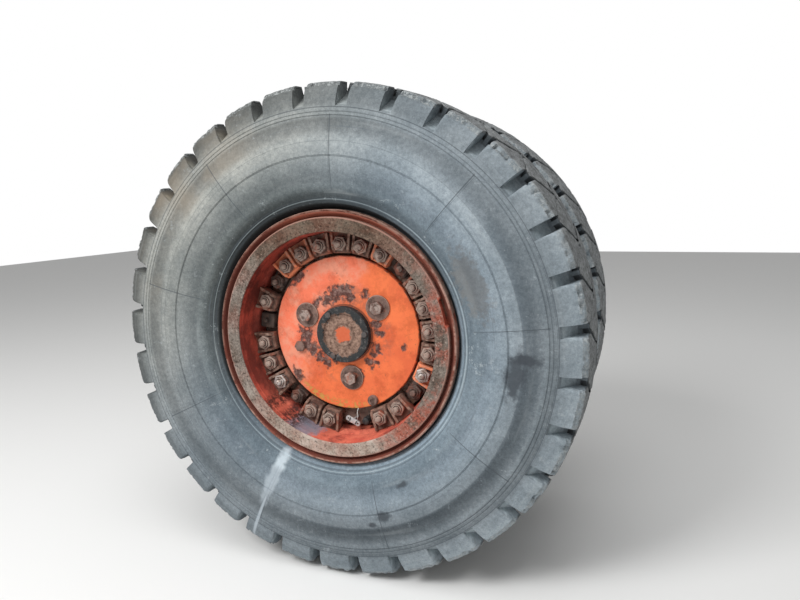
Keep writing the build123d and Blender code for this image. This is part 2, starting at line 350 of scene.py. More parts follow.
def rounded(outline, cut):
    """The closed outline with each corner replaced by a curve that starts cut away from it."""
    made = []
    for i, here in enumerate(outline):
        here = Vector(here)
        before, after = Vector(outline[i - 1]), Vector(outline[(i + 1) % len(outline)])
        start = here + (before - here).normalized() * min(cut, 0.45 * (before - here).length)
        end = here + (after - here).normalized() * min(cut, 0.45 * (after - here).length)
        for k in range(CURVE_STEPS + 1):
            t = k / CURVE_STEPS
            made.append(tuple(start * (1 - t) ** 2 + here * (2 * t * (1 - t)) + end * t ** 2))
    return made


def rounded_disc(outline, cut):
    """The same for a disc, whose outline starts and ends on the axle."""
    return [outline[0]] + rounded(outline, cut)[CURVE_STEPS + 1:-CURVE_STEPS - 1] + [outline[-1]]


def moved(outline, y):
    return [(radius, place + y) for radius, place in outline]


def turned(outline, steps=128, closed=True):
    """A shape turned about the axle from an outline of (radius, y). Radius 0 makes a pole."""
    shape = Shape()
    rows = []
    for radius, y in outline:
        start = len(shape.corners)
        if radius < 1e-6:
            shape.corners.append(Vector((0, y, 0)))
            rows.append([start] * steps)
        else:
            shape.corners += [on_wheel(radius, 360 * i / steps, y) for i in range(steps)]
            rows.append(list(range(start, start + steps)))
    pairs = zip(rows, rows[1:] + rows[:1]) if closed else zip(rows, rows[1:])
    for low, high in pairs:
        for i in range(steps):
            j = (i + 1) % steps
            face = [low[i], low[j], high[j], high[i]]
            face = [c for k, c in enumerate(face) if c != face[k - 1]]
            if len(face) > 2:
                shape.faces.append(face)
    return shape


print("a rounded square has", len(rounded([(1, 0), (2, 0), (2, 1), (1, 1)], 0.1)), "points")

# %% [markdown]
# Bars, plates and nuts are lofts: the same polygon at several heights. Blender's own bevel then takes
# the edges off.

# %% Lofts and bevels
def loft(sections):
    """A closed solid through polygons that all have the same number of corners."""
    shape = Shape()
    count = len(sections[0])
    for section in sections:
        shape.corners += [Vector(c) for c in section]
    shape.faces.append(list(range(count))[::-1])
    for row in range(len(sections) - 1):
        for i in range(count):
            j = (i + 1) % count
            low, high = row * count, (row + 1) * count
            shape.faces.append([low + i, low + j, high + j, high + i])
    shape.faces.append([(len(sections) - 1) * count + i for i in range(count)])
    return shape


def bevelled(shape, width):
    work = bmesh.new()
    corners = [work.verts.new(c) for c in shape.corners]
    for face in shape.faces:
        work.faces.new([corners[i] for i in face])
    bmesh.ops.recalc_face_normals(work, faces=work.faces)
    edges = [e for e in work.edges if e.calc_face_angle(0) > math.radians(25)]
    bmesh.ops.bevel(
        work, geom=edges, offset=width, segments=2, profile=0.5, affect="EDGES", clamp_overlap=True
    )
    work.verts.index_update()
    made = Shape()
    made.add([v.co.copy() for v in work.verts], [[v.index for v in f.verts] for f in work.faces])
    work.free()
    return made


def polygon(radius, sides, height, turn=0.0):
    angles = [math.radians(turn) + 2 * math.pi / sides * i for i in range(sides)]
    return [(radius * math.cos(a), radius * math.sin(a), height) for a in angles]


def bar(long, wide, low, high):
    x, y = long / 2, wide / 2
    return loft([[(-x, -y, h), (x, -y, h), (x, y, h), (-x, y, h)] for h in (low, high)])


def round_bar(outline, sides=24):
    """A solid turned about its own Z from an outline of (radius, height)."""
    return loft([polygon(radius, sides, height) for radius, height in outline])


print("a bevelled bar has", len(bevelled(bar(1, 1, 0, 1), 0.1).faces), "faces")

# %% [markdown]
# ## The tyres
#
# A lugged tyre is two things in one: a smooth carcass, which a lathe can turn, and a tread whose lugs
# repeat 32 times. The carcass carries the fine rings of the mould: a ridge beside the rim, two thin
# grooves half way up, and two more below the lugs.

# %% Outline of the carcass
SIDEWALL = [
    (0.4196, 0.1500), (0.4196, 0.1646), (0.4700, 0.1646), (0.4856, 0.1650), (0.4905, 0.1740),
    (0.5000, 0.1880), (0.5080, 0.1968), (0.5140, 0.2010), (0.5165, 0.2040), (0.5190, 0.2050),
    (0.5215, 0.2040), (0.5240, 0.2062), (0.5400, 0.2140), (0.5600, 0.2220), (0.5800, 0.2282),
    (0.6000, 0.2330), (0.6200, 0.2380), (0.6400, 0.2418), (0.6620, 0.2444), (0.6665, 0.2448),
    (0.6676, 0.2434), (0.6690, 0.2434), (0.6700, 0.2452), (0.6712, 0.2436), (0.6726, 0.2436),
    (0.6738, 0.2454), (0.6900, 0.2464), (0.7100, 0.2472), (0.7180, 0.2474), (0.7200, 0.2478),
    (0.7450, 0.2476), (0.7700, 0.2464), (0.7900, 0.2448), (0.8030, 0.2434), (0.8048, 0.2412),
    (0.8072, 0.2412), (0.8090, 0.2432), (0.8160, 0.2426), (0.8176, 0.2408), (0.8196, 0.2408),
    (0.8212, 0.2424), (0.8300, 0.2412), (0.8314, 0.2398), (0.8330, 0.2400), (0.8352, 0.2400),
    (0.8364, 0.2360), (0.8390, 0.2280), (0.8440, 0.2100), (0.8560, 0.1800), (0.8640, 0.1450),
    (0.8700, 0.1100), (0.8720, 0.0500), (0.8720, 0.0096), (0.8990, 0.0094),
]
carcass_side = [(r, -out) for r, out in SIDEWALL]
carcass_outline = carcass_side + [(r, -y) for r, y in reversed(carcass_side)]
print("the carcass outline has", len(carcass_outline), "points")

# %% [markdown]
# Seen from above, one pitch of the tread has four parts. The lug is a triangle whose point reaches the
# middle. The notch opens on the shoulder beside it. Two grooves leave the notch and lean apart, a thin
# one and a wide one, and what stands between them is half of a diamond. All four run between the same
# four walls, so it is enough to say where the walls are at each distance from the middle.

# %% Walls of the tread and outlines over it
NOTCH_CLOCKS = {OUTER_MID: 6.1, INNER_MID: 9.8}
NOTCH_END = 0.150
WALLS_IN_NOTCH = (-0.125, -0.065, 0.016, 0.125)
WALLS_AT_NOTCH_END = (-0.117, -0.063, 0.016, 0.114)
WALLS_AT_MIDDLE = (-0.480, -0.436, 0.412, 0.500)
THIN_GROOVE, DIAMOND, WIDE_GROOVE, LUG = range(4)
SHARES = {
    THIN_GROOVE: (0, 1),
    DIAMOND: (0, 0.06, 0.3, 0.5, 0.7, 0.94, 1),
    WIDE_GROOVE: (0, 0.5, 1),
    LUG: (
        0, 0.02, 0.045, 0.08, 0.12, 0.17, 0.23, 0.3, 0.37, 0.44, 0.51, 0.58, 0.65, 0.72, 0.79, 0.86, 0.92,
        0.97, 1,
    ),
}
OVER_LUG = [
    (0.8352, 0.2400), (0.8430, 0.2394), (0.8520, 0.2388), (0.8650, 0.2362), (0.8820, 0.2312),
    (0.8980, 0.2256), (0.9080, 0.2212), (0.9160, 0.2150), (0.9215, 0.2080), (0.9250, 0.1990),
    (0.9268, 0.1880), (0.9280, 0.1680), (0.9290, 0.1525),
]
ALONG_NOTCH = [
    (0.8352, 0.2400), (0.8368, 0.2396), (0.8384, 0.2376), (0.8430, 0.2300), (0.8480, 0.2220),
    (0.8520, 0.2140), (0.8565, 0.2060), (0.8610, 0.1980), (0.8660, 0.1900), (0.8715, 0.1800),
    (0.8775, 0.1690), (0.8835, 0.1590), (0.8880, 0.1525),
]
INNER_ROWS = (0.1495, 0.1440, 0.1150, 0.0850, 0.0550, 0.0320, 0.0150, 0.0108, 0.0092)
UNDER_TREAD = ((0.8900, 0.0090), (0.8380, 0.0090), (0.8380, 0.2000))
GROOVE_FLOOR = 0.900
CROWN_SLOPE = 0.0558
NOTCH_TO_MIDDLE = 0.1365
WALL_GAP = 0.003


def walls(out):
    """The four walls at a distance from the middle, as shares of a pitch from the notch's clock angle."""
    if out > NOTCH_END:
        return WALLS_IN_NOTCH
    t = min(1.0, (NOTCH_END - out) / NOTCH_TO_MIDDLE)
    return tuple(a + (b - a) * t for a, b in zip(WALLS_AT_NOTCH_END, WALLS_AT_MIDDLE))


def turn_at(part, share, out):
    """Where a share of the way across a part is, in pitches from the notch."""
    sides = (*walls(out), walls(out)[0] + 1)
    low, high = sides[part] + WALL_GAP, sides[part + 1] - WALL_GAP
    return low + (high - low) * share


def crown(out):
    """The radius of the running face."""
    return CROWN_R - CROWN_SLOPE * out


columns = sum(len(shares) for shares in SHARES.values()) * LUGS
print(columns, "columns of", len(OVER_LUG) + len(INNER_ROWS), "points on each side")

# %% [markdown]
# Work on stone has rounded the leading edge of each lug and bitten into the shoulder. Noise that depends
# only on the place pulls the points of the edges inward, so each run gives the same chips, and a few deep
# ones are put where they are on this tyre.

# %% Build the tread
EDGE_ROWS = {5: 0.25, 6: 0.6, 7: 1.0, 8: 1.0, 9: 0.6, 10: 0.2}
BITES = [
    (124.2, 1.5, 0.020), (5.0, 1.2, 0.012), (72.5, 1.4, 0.014), (46.0, 1.0, 0.012), (333.0, 1.3, 0.012),
]
FACE_ROWS, SHOULDER_ROWS = 7, 9
WORN_DOWN, WORN_EDGE, WORN_ROUGH = 0.0012, 0.0025, 0.0032


def worn(row, share, clock, side):
    """How far one point over a lug is worn in."""
    rounding = 0.0050 * max(0.0, 1 - share / 0.045) ** 2
    edge = EDGE_ROWS.get(row, 0.0)
    corner = 0.008 * max(0.0, 1 - share / 0.16) ** 2
    rough = noise.noise(Vector((clock * 0.9, side * 7.0, row * 0.35)))
    fine = noise.noise(Vector((clock * 2.7, side * 3.0, row * 0.6)))
    chips = max(0.0, rough - 0.08) * 0.018 + max(0.0, fine) * 0.006
    near = [deep * max(0.0, 1 - abs(clock - at) / wide) for at, wide, deep in BITES]
    bites = sum(near) if side < 0 else 0.0
    return (rounding if row > 1 else 0.0) + edge * (corner + chips + bites)


def half_column(part, share, notch_clock, side):
    """One column from the sidewall to the middle line: (radius, out, clock)."""
    made = []
    for row, (lug, notch) in enumerate(zip(OVER_LUG, ALONG_NOTCH)):
        radius, out = lug if part == LUG else notch
        clock = notch_clock - side * turn_at(part, share, out) * PITCH
        if part == LUG:
            wear = worn(row, share, clock, side)
            radius -= wear * (0.35 if row < FACE_ROWS else 1.0)
            out -= wear * (1.0 if row < SHOULDER_ROWS else 0.2)
        made.append((radius, out, clock))
    for out in INNER_ROWS:
        clock = notch_clock - side * turn_at(part, share, out) * PITCH
        at_edge = out < 0.0105 or share < 0.01 or (part == DIAMOND and out > 0.149)
        rough = WORN_ROUGH * noise.noise(Vector((clock * 1.3, out * 80, side)))
        radius = crown(out) - WORN_DOWN - (WORN_EDGE if at_edge else 0.0) + rough
        if part in (THIN_GROOVE, WIDE_GROOVE):
            radius = GROOVE_FLOOR
        made.append((radius, out, clock))
    return made + [(radius, out, clock) for radius, out in UNDER_TREAD]


def tread(mid):
    shape = Shape()
    for side in (-1, 1):
        rows = []
        for lug in range(LUGS):
            for part, shares in SHARES.items():
                for share in shares:
                    points = half_column(part, share, NOTCH_CLOCKS[mid] + lug * PITCH, side)
                    rows.append(range(len(shape.corners), len(shape.corners) + len(points)))
                    shape.corners += [on_wheel(r, clock, mid + side * out) for r, out, clock in points]
        for here, after in zip(rows, rows[1:] + rows[:1]):
            count = len(here)
            for i in range(count):
                j = (i + 1) % count
                shape.faces.append([here[i], after[i], after[j], here[j]])
    return shape


print("one chipped corner moves by", round(worn(7, 0.4, 12.0, -1), 4), "m")

# %% [markdown]
# Where the parts of the mould met, thin ribs of rubber run from the rim to the shoulder. The lettering
# between them is left out.

# %% Ribs of the mould
MOULD_CLOCKS = [3, 44, 84, 125, 165, 205, 245, 285, 323]
RIB_HALF, RIB_SUNK, RIB_PROUD = 0.0016, 0.002, 0.0009


def mould_ribs(mid):
    shape = Shape()
    path = [(r, out) for r, out in SIDEWALL if 0.548 < r < 0.812]
    for clock in MOULD_CLOCKS:
        for side in (-1, 1):
            sections = []
            for radius, out in path:
                wide = math.degrees(RIB_HALF / radius)
                low, high = mid + side * (out - RIB_SUNK), mid + side * (out + RIB_PROUD)
                left, right = on_wheel(radius, clock - wide, low), on_wheel(radius, clock + wide, low)
                sections.append([left, right, on_wheel(radius, clock, high)])
            rib = loft(sections)
            shape.add(rib.corners, rib.faces)
    return shape


print(len(MOULD_CLOCKS), "ribs on each side")

# %% [markdown]
# ## The finish of the tyres
#
# Worn rubber is a cool grey. How pale it is changes from the rim to the tread, and from one side of the
# wheel to the other, and much of that is painted light and shade: the sidewall's slopes, lit from the
# upper left. A table by radius is enough for that. A row is a radius, a grey with painted shade in it,
# and how much paler the rubber gets there towards the top and towards the right, which is painted light.

# %% Greys of the rubber
RUBBER_GREYS_AND_SHADE = [
    (0.497, 0.165, -0.60, 0.45), (0.515, 0.115, -0.50, 0.45), (0.540, 0.095, -0.40, 0.25),
    (0.570, 0.135, 0.00, 0.05), (0.600, 0.200, -0.10, 0.20), (0.640, 0.255, 0.00, 0.15),
    (0.690, 0.255, 0.20, 0.10), (0.714, 0.265, 0.30, 0.05), (0.730, 0.230, 0.50, -0.20),
    (0.760, 0.175, 0.25, 0.00), (0.792, 0.190, -0.15, 0.15), (0.808, 0.235, 0.20, -0.20),
    (0.830, 0.230, 0.20, -0.15), (0.852, 0.225, -0.15, 0.15), (0.880, 0.210, -0.25, 0.50),
    (0.910, 0.235, -0.40, 0.60),
]
BLUE_GREY, DUSTY_GREY = (0.83, 1.0, 1.12), (0.915, 1.0, 1.03)


def rings(finish, radius, clock, scale, detail=5.0):
    """Noise drawn out round the axle, as a lathe or a wiping hand leaves it."""
    place = finish.node("ShaderNodeCombineXYZ", {}, {0: radius * scale, 1: clock * 0.03, 2: 0.0})
    return finish.node("ShaderNodeTexNoise", {}, {"Vector": place, "Scale": 1.0, "Detail": detail})


def weathered_and_shaded(finish, radius, clock):
    """The rubber's grey by radius with painted shade, painted light to one side, and browner at the upper
    left.
    """
    grey = finish.bands(radius, [(at, (level, level, level)) for at, level, up, across in RUBBER_GREYS_AND_SHADE])
    grey = grey * finish.mix(BLUE_GREY, DUSTY_GREY, radius.ramp(0.51, 0.75))
    # Painted light and shade: by radius, the rubber is paler or darker towards the top and the right.
    light_lean = [(at, (0.5 + up / 2, 0.5 + across / 2, 0.0)) for at, level, up, across in RUBBER_GREYS_AND_SHADE]
    light_lean = finish.node("ShaderNodeSeparateColor", {}, {0: finish.bands(radius, light_lean)})
    angle = clock * (math.pi / 180)
    up, across = finish.maths("COSINE", angle), finish.maths("SINE", angle)
    painted_light = 1 + (light_lean * 2 - 1) * up + (light_lean.other(1) * 2 - 1) * across
    brown = (0.62 * up - 0.78 * across).ramp(0.1, 1.05)
    return grey * finish.mix((0.95, 1.0, 1.06), (1.07, 1.0, 0.91), brown) * finish.grey(painted_light)


print(len(RUBBER_GREYS_AND_SHADE), "greys from the rim to the tread")

# %% [markdown]
# Stone dust, grain and scratches come over that grey, each as noise at its own scale, with painted shade
# below the step at radius 0.72 on the right. Then come the rings: a painted shadow in the gap beside the
# rim, painted shade in the mould's thin grooves, and one pale ridge. Dark lines along the mould's ribs
# are painted shade too.

# %% Dust, scratches and rings
GROOVE_SHADE_RINGS = [
    (0.5110, 0.0030, 0.5), (0.5255, 0.0020, 0.5), (0.6683, 0.0006, 0.45), (0.6719, 0.0006, 0.35),
    (0.7205, 0.0010, 0.3), (0.8060, 0.0011, 0.35), (0.8186, 0.0008, 0.3), (0.8350, 0.0014, 0.6),
]
SEAM_STEP = 40.1


def dusted(finish, colour, radius, clock, mottle):
    """Dust in clouds and grain, scratches across each other, mud that a hand has wiped round, and painted
    shade below the step at radius 0.72, on the right.
    """
    dust = patches(finish, 0.34, 0.68, 5.0, 8.0, 0.66)
    colour = colour * finish.mix((0.80, 0.82, 0.83), (1.15, 1.14, 1.13), dust)
    colour = colour * finish.mix((0.76, 0.77, 0.78), (1.24, 1.23, 1.22), mottle.ramp(0.28, 0.72))
    colour = colour * finish.mix(0.88, 1.13, patches(finish, 0.30, 0.70, 170.0, 5.0, 0.8))
    scratch = cloud(finish, 34.0, 7.0, 0.85, (1.0, 1.0, 0.3))
    scratch = scratch * cloud(finish, 34.0, 7.0, 0.85, (0.3, 1.0, 1.0))
    colour = colour.under((0.42, 0.46, 0.48), 0.35 * scratch.ramp(0.31, 0.36))
    # Painted shade: below the step at radius 0.72 the right side is darkened.
    shelf_shade = radius.ramp(0.7205, 0.7225) * (1 - radius.ramp(0.740, 0.800))
    colour = colour * finish.mix(1.0, (0.70, 0.72, 0.74), shelf_shade * clock.between(45, 195, 18))
    wiped = rings(finish, radius, clock, 34).ramp(0.55, 0.8)
    colour = colour.under((0.38, 0.41, 0.42), 0.25 * wiped)
    worn_dark = rings(finish, radius, clock, 120).ramp(0.58, 0.74)
    colour = colour.under((0.10, 0.12, 0.14), 0.35 * worn_dark)
    mud = patches(finish, 0.40, 0.62, 2.2, 6.0) * spot(finish, 0.79, 315, 0.42, soft=0.6, scale=5)
    return colour.under((0.27, 0.225, 0.17), 0.55 * mud * radius.between(0.735, 0.905, 0.02))


def ringed(finish, colour, radius, clock):
    """A painted shadow beside the rim, wider at the top left, painted shade in the mould's grooves and
    along its ribs, and its pale ridge.
    """
    left = over_top(clock, 205, 255, 10, 70)
    # Painted shadow: the rubber beside the rim is painted near black, wider at the top left.
    gap_shadow = 1 - (radius + 0.002 - 0.014 * left).ramp(0.4880, 0.4965)
    colour = colour.under((0.012, 0.013, 0.014), 0.9 * gap_shadow)
    # Painted shade in the mould's thin grooves and below its steps.
    for at, wide, share in GROOVE_SHADE_RINGS:
        groove_shade = radius.between(at - wide, at + wide, 0.0008)
        colour = colour.under((0.05, 0.06, 0.07), share * groove_shade)
    ridge = radius.between(0.5172, 0.5208, 0.001)
    colour = colour.under((0.36, 0.42, 0.45), (0.45 - 0.25 * left) * ridge)
    # Painted shade: dark lines along the mould's ribs, one every 40.1 degrees.
    rib_shadow = finish.maths("FLOORED_MODULO", clock, SEAM_STEP).between(3.32, 3.62, 0.05)
    return colour.under((0.06, 0.07, 0.08), 0.65 * rib_shadow * radius.between(0.55, 0.81, 0.004))


print(len(GROOVE_SHADE_RINGS), "dark rings")

# %% [markdown]
# A few marks belong to this wheel alone: dark scuffs, a smear, and one pale streak of dried mud that
# starts wide near the rim and runs out thin towards the tread. Each is a spot: its radius, clock angle
# and size, and how much narrower it is across than along the radius.

# %% Marks of this wheel
SCUFFS = [
    (0.735, 91.5, 0.046, 2.5), (0.697, 96.5, 0.032, 0.38), (0.682, 162.5, 0.019, 0.75),
    (0.707, 166.8, 0.010, 0.6), (0.590, 152.0, 0.010, 0.45),
]


def marked(finish, colour, mottle):
    for radius, clock, size, squeeze in SCUFFS:
        scuff = spot(finish, radius, clock, size, ragged=0.9, scale=38, squeeze=squeeze, soft=0.45)
        colour = colour.under((0.050, 0.058, 0.068), 0.85 * scuff * mottle.ramp(0.12, 0.40))
    smear = spot(finish, 0.583, 67.5, 0.050, ragged=1.1, scale=45, squeeze=0.42, soft=0.35)
    colour = colour.under((0.125, 0.122, 0.118), 0.6 * smear)
    streak = spot(finish, 0.82, 204.6, 0.15, ragged=0.25, scale=30, squeeze=24, soft=0.5)
    wedge = spot(finish, 0.60, 205, 0.125, ragged=0.75, scale=30, squeeze=5.5, soft=0.4)
    return colour.under((0.47, 0.53, 0.58), 0.7 * either(streak, 0.85 * wedge))


print(len(SCUFFS), "scuffs")

# %% [markdown]
# The tread is darkest in its grooves, which is painted shade, and palest on the chipped edges and the
# running face. The chipped edges are worn pale and carry a painted highlight too, and the floor of each
# notch gets painted light towards its open end. How far a place is below the running face tells which
# of them it is.

# %% Rubber of the two tyres
def tyre_finish(name, mid):
    finish = Finish(name, roughness=0.82, specular=0.16)
    radius, clock, y = finish.polar()
    out = finish.maths("ABSOLUTE", y - mid)
    mottle = cloud(finish, 70.0, 7.0, 0.8)
    colour = dusted(finish, weathered_and_shaded(finish, radius, clock), radius, clock, mottle)
    colour = marked(finish, ringed(finish, colour, radius, clock), mottle)
    below = crown(out) - radius
    top = (1 - below.ramp(0.004, 0.010)) * (1 - out.ramp(0.192, 0.206))
    rough = cloud(finish, 90, 6.0, 0.8)
    torn = cloud(finish, 34, 7.0, 0.8, (1.0, 0.5, 1.0))
    stone = (0.5 * rough + 0.5 * torn).ramp(0.38, 0.62)
    colour = colour.under(finish.mix((0.105, 0.110, 0.113), (0.315, 0.33, 0.335), stone), top)
    # Painted shade: the grooves are painted near black.
    deep = below.ramp(0.004, 0.014) * (1 - out.ramp(0.144, 0.160))
    colour = colour.under((0.035, 0.038, 0.042), 0.85 * deep)
    # Painted light: the floor of the notch is made paler towards the shoulder, where it opens.
    lit_notch_floor = below.ramp(0.034, 0.050) * (1 - out.ramp(0.222, 0.232)) * (1 - deep)
    notch_mouth_light = finish.mix(1.0, (1.55, 1.55, 1.52), out.ramp(0.160, 0.226))
    colour = colour.under(colour * notch_mouth_light, lit_notch_floor)
    # The chipped edges are worn pale and carry a painted highlight.
    edge = (1 - below.ramp(0.016, 0.022)) * out.ramp(0.190, 0.202)
    edge = edge * (0.1 + 0.9 * (0.6 * rough + 0.4 * torn).ramp(0.47, 0.55))
    colour = colour.under((0.52, 0.55, 0.55), 0.65 * edge)
    height = cloud(finish, 60, 6.0, 0.7) + 2.4 * either(top, edge) * (rough + torn)
    return finish.dress(colour, height, 0.6, 0.004, 0.74 + 0.2 * mottle)


outer_rubber = tyre_finish("outer_tyre_rubber", OUTER_MID)
inner_rubber = tyre_finish("inner_tyre_rubber", INNER_MID)
print(len(outer_rubber.tree.nodes), "nodes in the rubber")

# %% [markdown]
# The two tyres are one mould, but the inner one is turned by a third of a pitch, since no fitter lines
# them up.

# %% Put both tyres together
tyres = (("outer_tyre", OUTER_MID, outer_rubber), ("inner_tyre", INNER_MID, inner_rubber))
for name, mid, rubber in tyres:
    carcass = turned(moved(carcass_outline, mid), 256)
    replaced(name + "_carcass", carcass, rubber, name, 30)
    replaced(name + "_tread", tread(mid), rubber, name, 32)
    replaced(name + "_mould_ribs", mould_ribs(mid), rubber, name)

# %% [markdown]
# ## Rusty paint on the rims
#
# The rims were sprayed orange with the wheel and have rusted since. Rust comes in two scales: wide clouds
# where water stood, and small pits where stones hit. One function lays both over any paint. A second one
# is for steel that lost its paint long ago, whose scale is brown and grey by turns.

# %% Rust and scale
RUST = (0.15, 0.088, 0.062)
GRIME_AND_SHADE = (0.045, 0.036, 0.032)


def rusty(finish, paint, rust, amount, scale=9.0):
    """Paint under clouds and pits of rust. amount runs from 0 to 1. Returns the colour and the mask."""
    wide = cloud(finish, scale, 7.0, 0.62)
    pits = cloud(finish, scale * 9, 5.0, 0.7)
    mask = (wide + 0.35 * (pits - 0.5) + (amount - 0.5)).ramp(0.46, 0.56)
    mottled = finish.mix(rust, tuple(0.55 * c for c in rust), pits.ramp(0.42, 0.62))
    return finish.mix(paint, mottled, mask), mask


def scaled(finish, radius, clock):
    """Old scale on bare steel, redder on the right, darker at the top, and pitted all over."""
    fine = cloud(finish, 105, 4.0, 0.75)
    bottom = clock.between(140, 230, 30)
    colour = blotched(finish, (0.105, 0.078, 0.062), (0.205, 0.175, 0.150), 0.36, 0.64, 9.0, 8.0, 0.68)
    colour = colour * finish.grey(1.15 + bottom)
    red = (cloud(finish, 7.0, 7.0, 0.66) + 0.2 * (fine - 0.5)).ramp(0.44, 0.60)
    red = red * (clock.between(60, 150, 30) + 0.25)
    colour = colour.under((0.34, 0.085, 0.052), 0.8 * red)
    colour = colour.under((0.46, 0.38, 0.33), 0.6 * fine.ramp(0.54, 0.66))
    colour = colour.under((0.035, 0.024, 0.020), 0.7 * (1 - fine).ramp(0.53, 0.63))
    colour = colour * finish.mix(0.98, (0.64, 0.57, 0.50), over_top(clock, 290, 335, 25, 70))
    colour = colour * finish.mix(1.0, (1.28, 1.25, 1.25), clock.between(140, 220, 30))
    edge = radius.between(0.4515, 0.4562, 0.0012)
    return colour.under((0.46, 0.25, 0.20), 0.6 * edge), fine


print("rust is", RUST, "and grime is", GRIME_AND_SHADE)

# %% [markdown]
# Seen from outside, a rim is a pale lip that stones have worn, a channel behind it, a broad face of
# scale, and the bore, which kept most of its paint. The radius says which of them a place is on. The
# upper left is darker than the rest, by clock angle.

# %% Paint of the rims
GRIMY = ((212, 0.05), (226, 0.03))


def bore_paint(finish, clock):
    """Paint inside the bore, with painted light at the bottom and painted shade towards the top."""
    colour = blotched(finish, (0.55, 0.102, 0.068), (0.230, 0.050, 0.037), 0.38, 0.60, 11, 7.0, 0.65)
    # Painted light on the bottom of the bore, in patches.
    low = clock.between(130, 232, 18) * patches(finish, 0.36, 0.60, 16, 6.0, 0.7)
    colour = colour.under((0.74, 0.185, 0.115), 0.85 * low)
    shade = either(clock.between(284, 340, 12), clock.between(20, 60, 12))
    return colour * finish.mix(1.0, (0.58, 0.54, 0.54), shade)


def rim_finish(name, mid):
    finish = Finish(name, roughness=0.8, specular=0.16)
    radius, clock, y = finish.polar()
    out = finish.maths("ABSOLUTE", y - mid)
    paint = blotched(finish, (0.40, 0.085, 0.042), (0.17, 0.040, 0.024), 0.36, 0.58, 7.0, 6.0, 0.65)
    colour, mask = rusty(finish, paint, RUST, 0.50)
    lip = radius.ramp(0.4725, 0.4760) * out.ramp(0.196, 0.2005)
    pale = blotched(finish, (0.42, 0.25, 0.20), (0.19, 0.065, 0.046), 0.42, 0.58, 24, 6.0, 0.7)
    colour = colour.under(pale, 0.9 * lip)
    colour = colour * finish.mix(1.0, (0.52, 0.47, 0.45), over_top(clock, 225, 270, 20, 60))
    edge = radius.ramp(0.4800, 0.4812) * patches(finish, 0.36, 0.52, 30, 5.0)
    colour = colour.under((0.40, 0.25, 0.20), 0.6 * edge)
    # Painted highlight: the channel is painted paler at the top.
    lit_channel_top = over_top(clock, 322, 350, 25, 70)
    channel_with_highlight = finish.mix((0.150, 0.045, 0.032), (0.46, 0.145, 0.095), lit_channel_top)
    colour = colour.under(channel_with_highlight, 0.85 * radius.between(0.4545, 0.4745, 0.002))
    bore = 1 - radius.ramp(0.4035, 0.4065)
    colour = colour.under(bore_paint(finish, clock), bore)
    scuff = spot(finish, 0.402, 203, 0.045, ragged=0.9, scale=40, squeeze=0.8)
    colour = colour.under((0.20, 0.25, 0.31), 0.8 * scuff * bore)
    wide, small = (spot(finish, 0.402, at, size, ragged=1.2, scale=60) for at, size in GRIMY)
    grime = 0.85 * either(wide, small) * patches(finish, 0.42, 0.55, 60, 6.0, 0.75)
    colour = colour.under((0.035, 0.022, 0.020), grime)
    scale, fine = scaled(finish, radius, clock)
    face = (1 - radius.ramp(0.4195, 0.4215)) * out.ramp(0.1985, 0.2005)
    colour = colour.under(scale, face)
    return finish.dress(colour, fine + 0.8 * mask, 0.6, 0.003, 0.66 + 0.28 * mask)


outer_rim_paint = rim_finish("outer_rim_rusty_paint", OUTER_MID)
inner_rim_paint = rim_finish("inner_rim_rusty_paint", INNER_MID)
print(len(outer_rim_paint.tree.nodes), "nodes in a rim's paint")

# %% [markdown]
# ## The outer rim
#
# An earthmover rim comes apart. A loose flange holds the tyre's bead, and a split ring in front of it
# locks it on the rim base. Seen from outside they are a rounded lip, a channel, and a broad rough
# ring. Each is turned from its own section, whose corners rolling and wear have rounded.

# %% Turn the flanges and the rim bases
BEAD_R = 0.4191
FLANGE_R = 0.4826
CURL_R = 0.4566
SEAT_R = 0.4194
BORE_R = 0.4020
LIP = 0.2031
BACK = 0.1751
BEAD = 0.1651
side_outline = [
    (SEAT_R, -BEAD), (FLANGE_R, -BEAD), (FLANGE_R, -LIP), (0.4726, -LIP), (0.4670, -0.1860),
    (CURL_R, -BACK), (SEAT_R, -BACK),
]
base_outline = [
    (BORE_R, -LIP), (0.4185, -LIP), (0.4189, -LIP), (0.4189, -0.2027), (BEAD_R, BEAD), (FLANGE_R, BEAD),
    (FLANGE_R, BACK), (0.3900, BACK), (0.3900, -0.0770), (BORE_R, -0.0996), (BORE_R, -0.1700),
    (0.4006, -0.1730), (0.4006, -0.1790), (BORE_R, -0.1820),
]
inner_outline = [
    (BORE_R, -BACK), (FLANGE_R, -BACK), (FLANGE_R, -BEAD), (BEAD_R, -BEAD), (BEAD_R, BEAD),
    (FLANGE_R, BEAD), (FLANGE_R, BACK), (BORE_R, BACK),
]


def turned_rim(name, outline, mid, cut, steps, paint, node):
    section = rounded(moved(outline, mid), cut)
    replaced(name, turned(section, steps), paint, node)


paint = outer_rim_paint
turned_rim("rim_side_flange", side_outline, OUTER_MID, 0.0055, 192, paint, "outer_rim_side_flange")
turned_rim("outer_rim_base", base_outline, OUTER_MID, 0.004, 192, paint, "outer_rim_base")
turned_rim("inner_rim", inner_outline, INNER_MID, 0.003, 160, inner_rim_paint, "inner_rim")

# %% [markdown]
# The lock ring lost its paint long ago. Its face is rough, pitted scale, redder on the right, and a pry
# notch is cut into its outer edge so that a bar can lift it out. On the left is its split, a narrow dip
# in the face.

# %% The lock ring and its scale
LOCK_R = 0.456
PRY_CLOCK, PRY_HALF, PRY_R = 74.5, 6.4, 0.4475
SPLIT_CLOCK, SPLIT_HALF, SPLIT_Y = 255, 0.6, OUTER_MID - 0.198


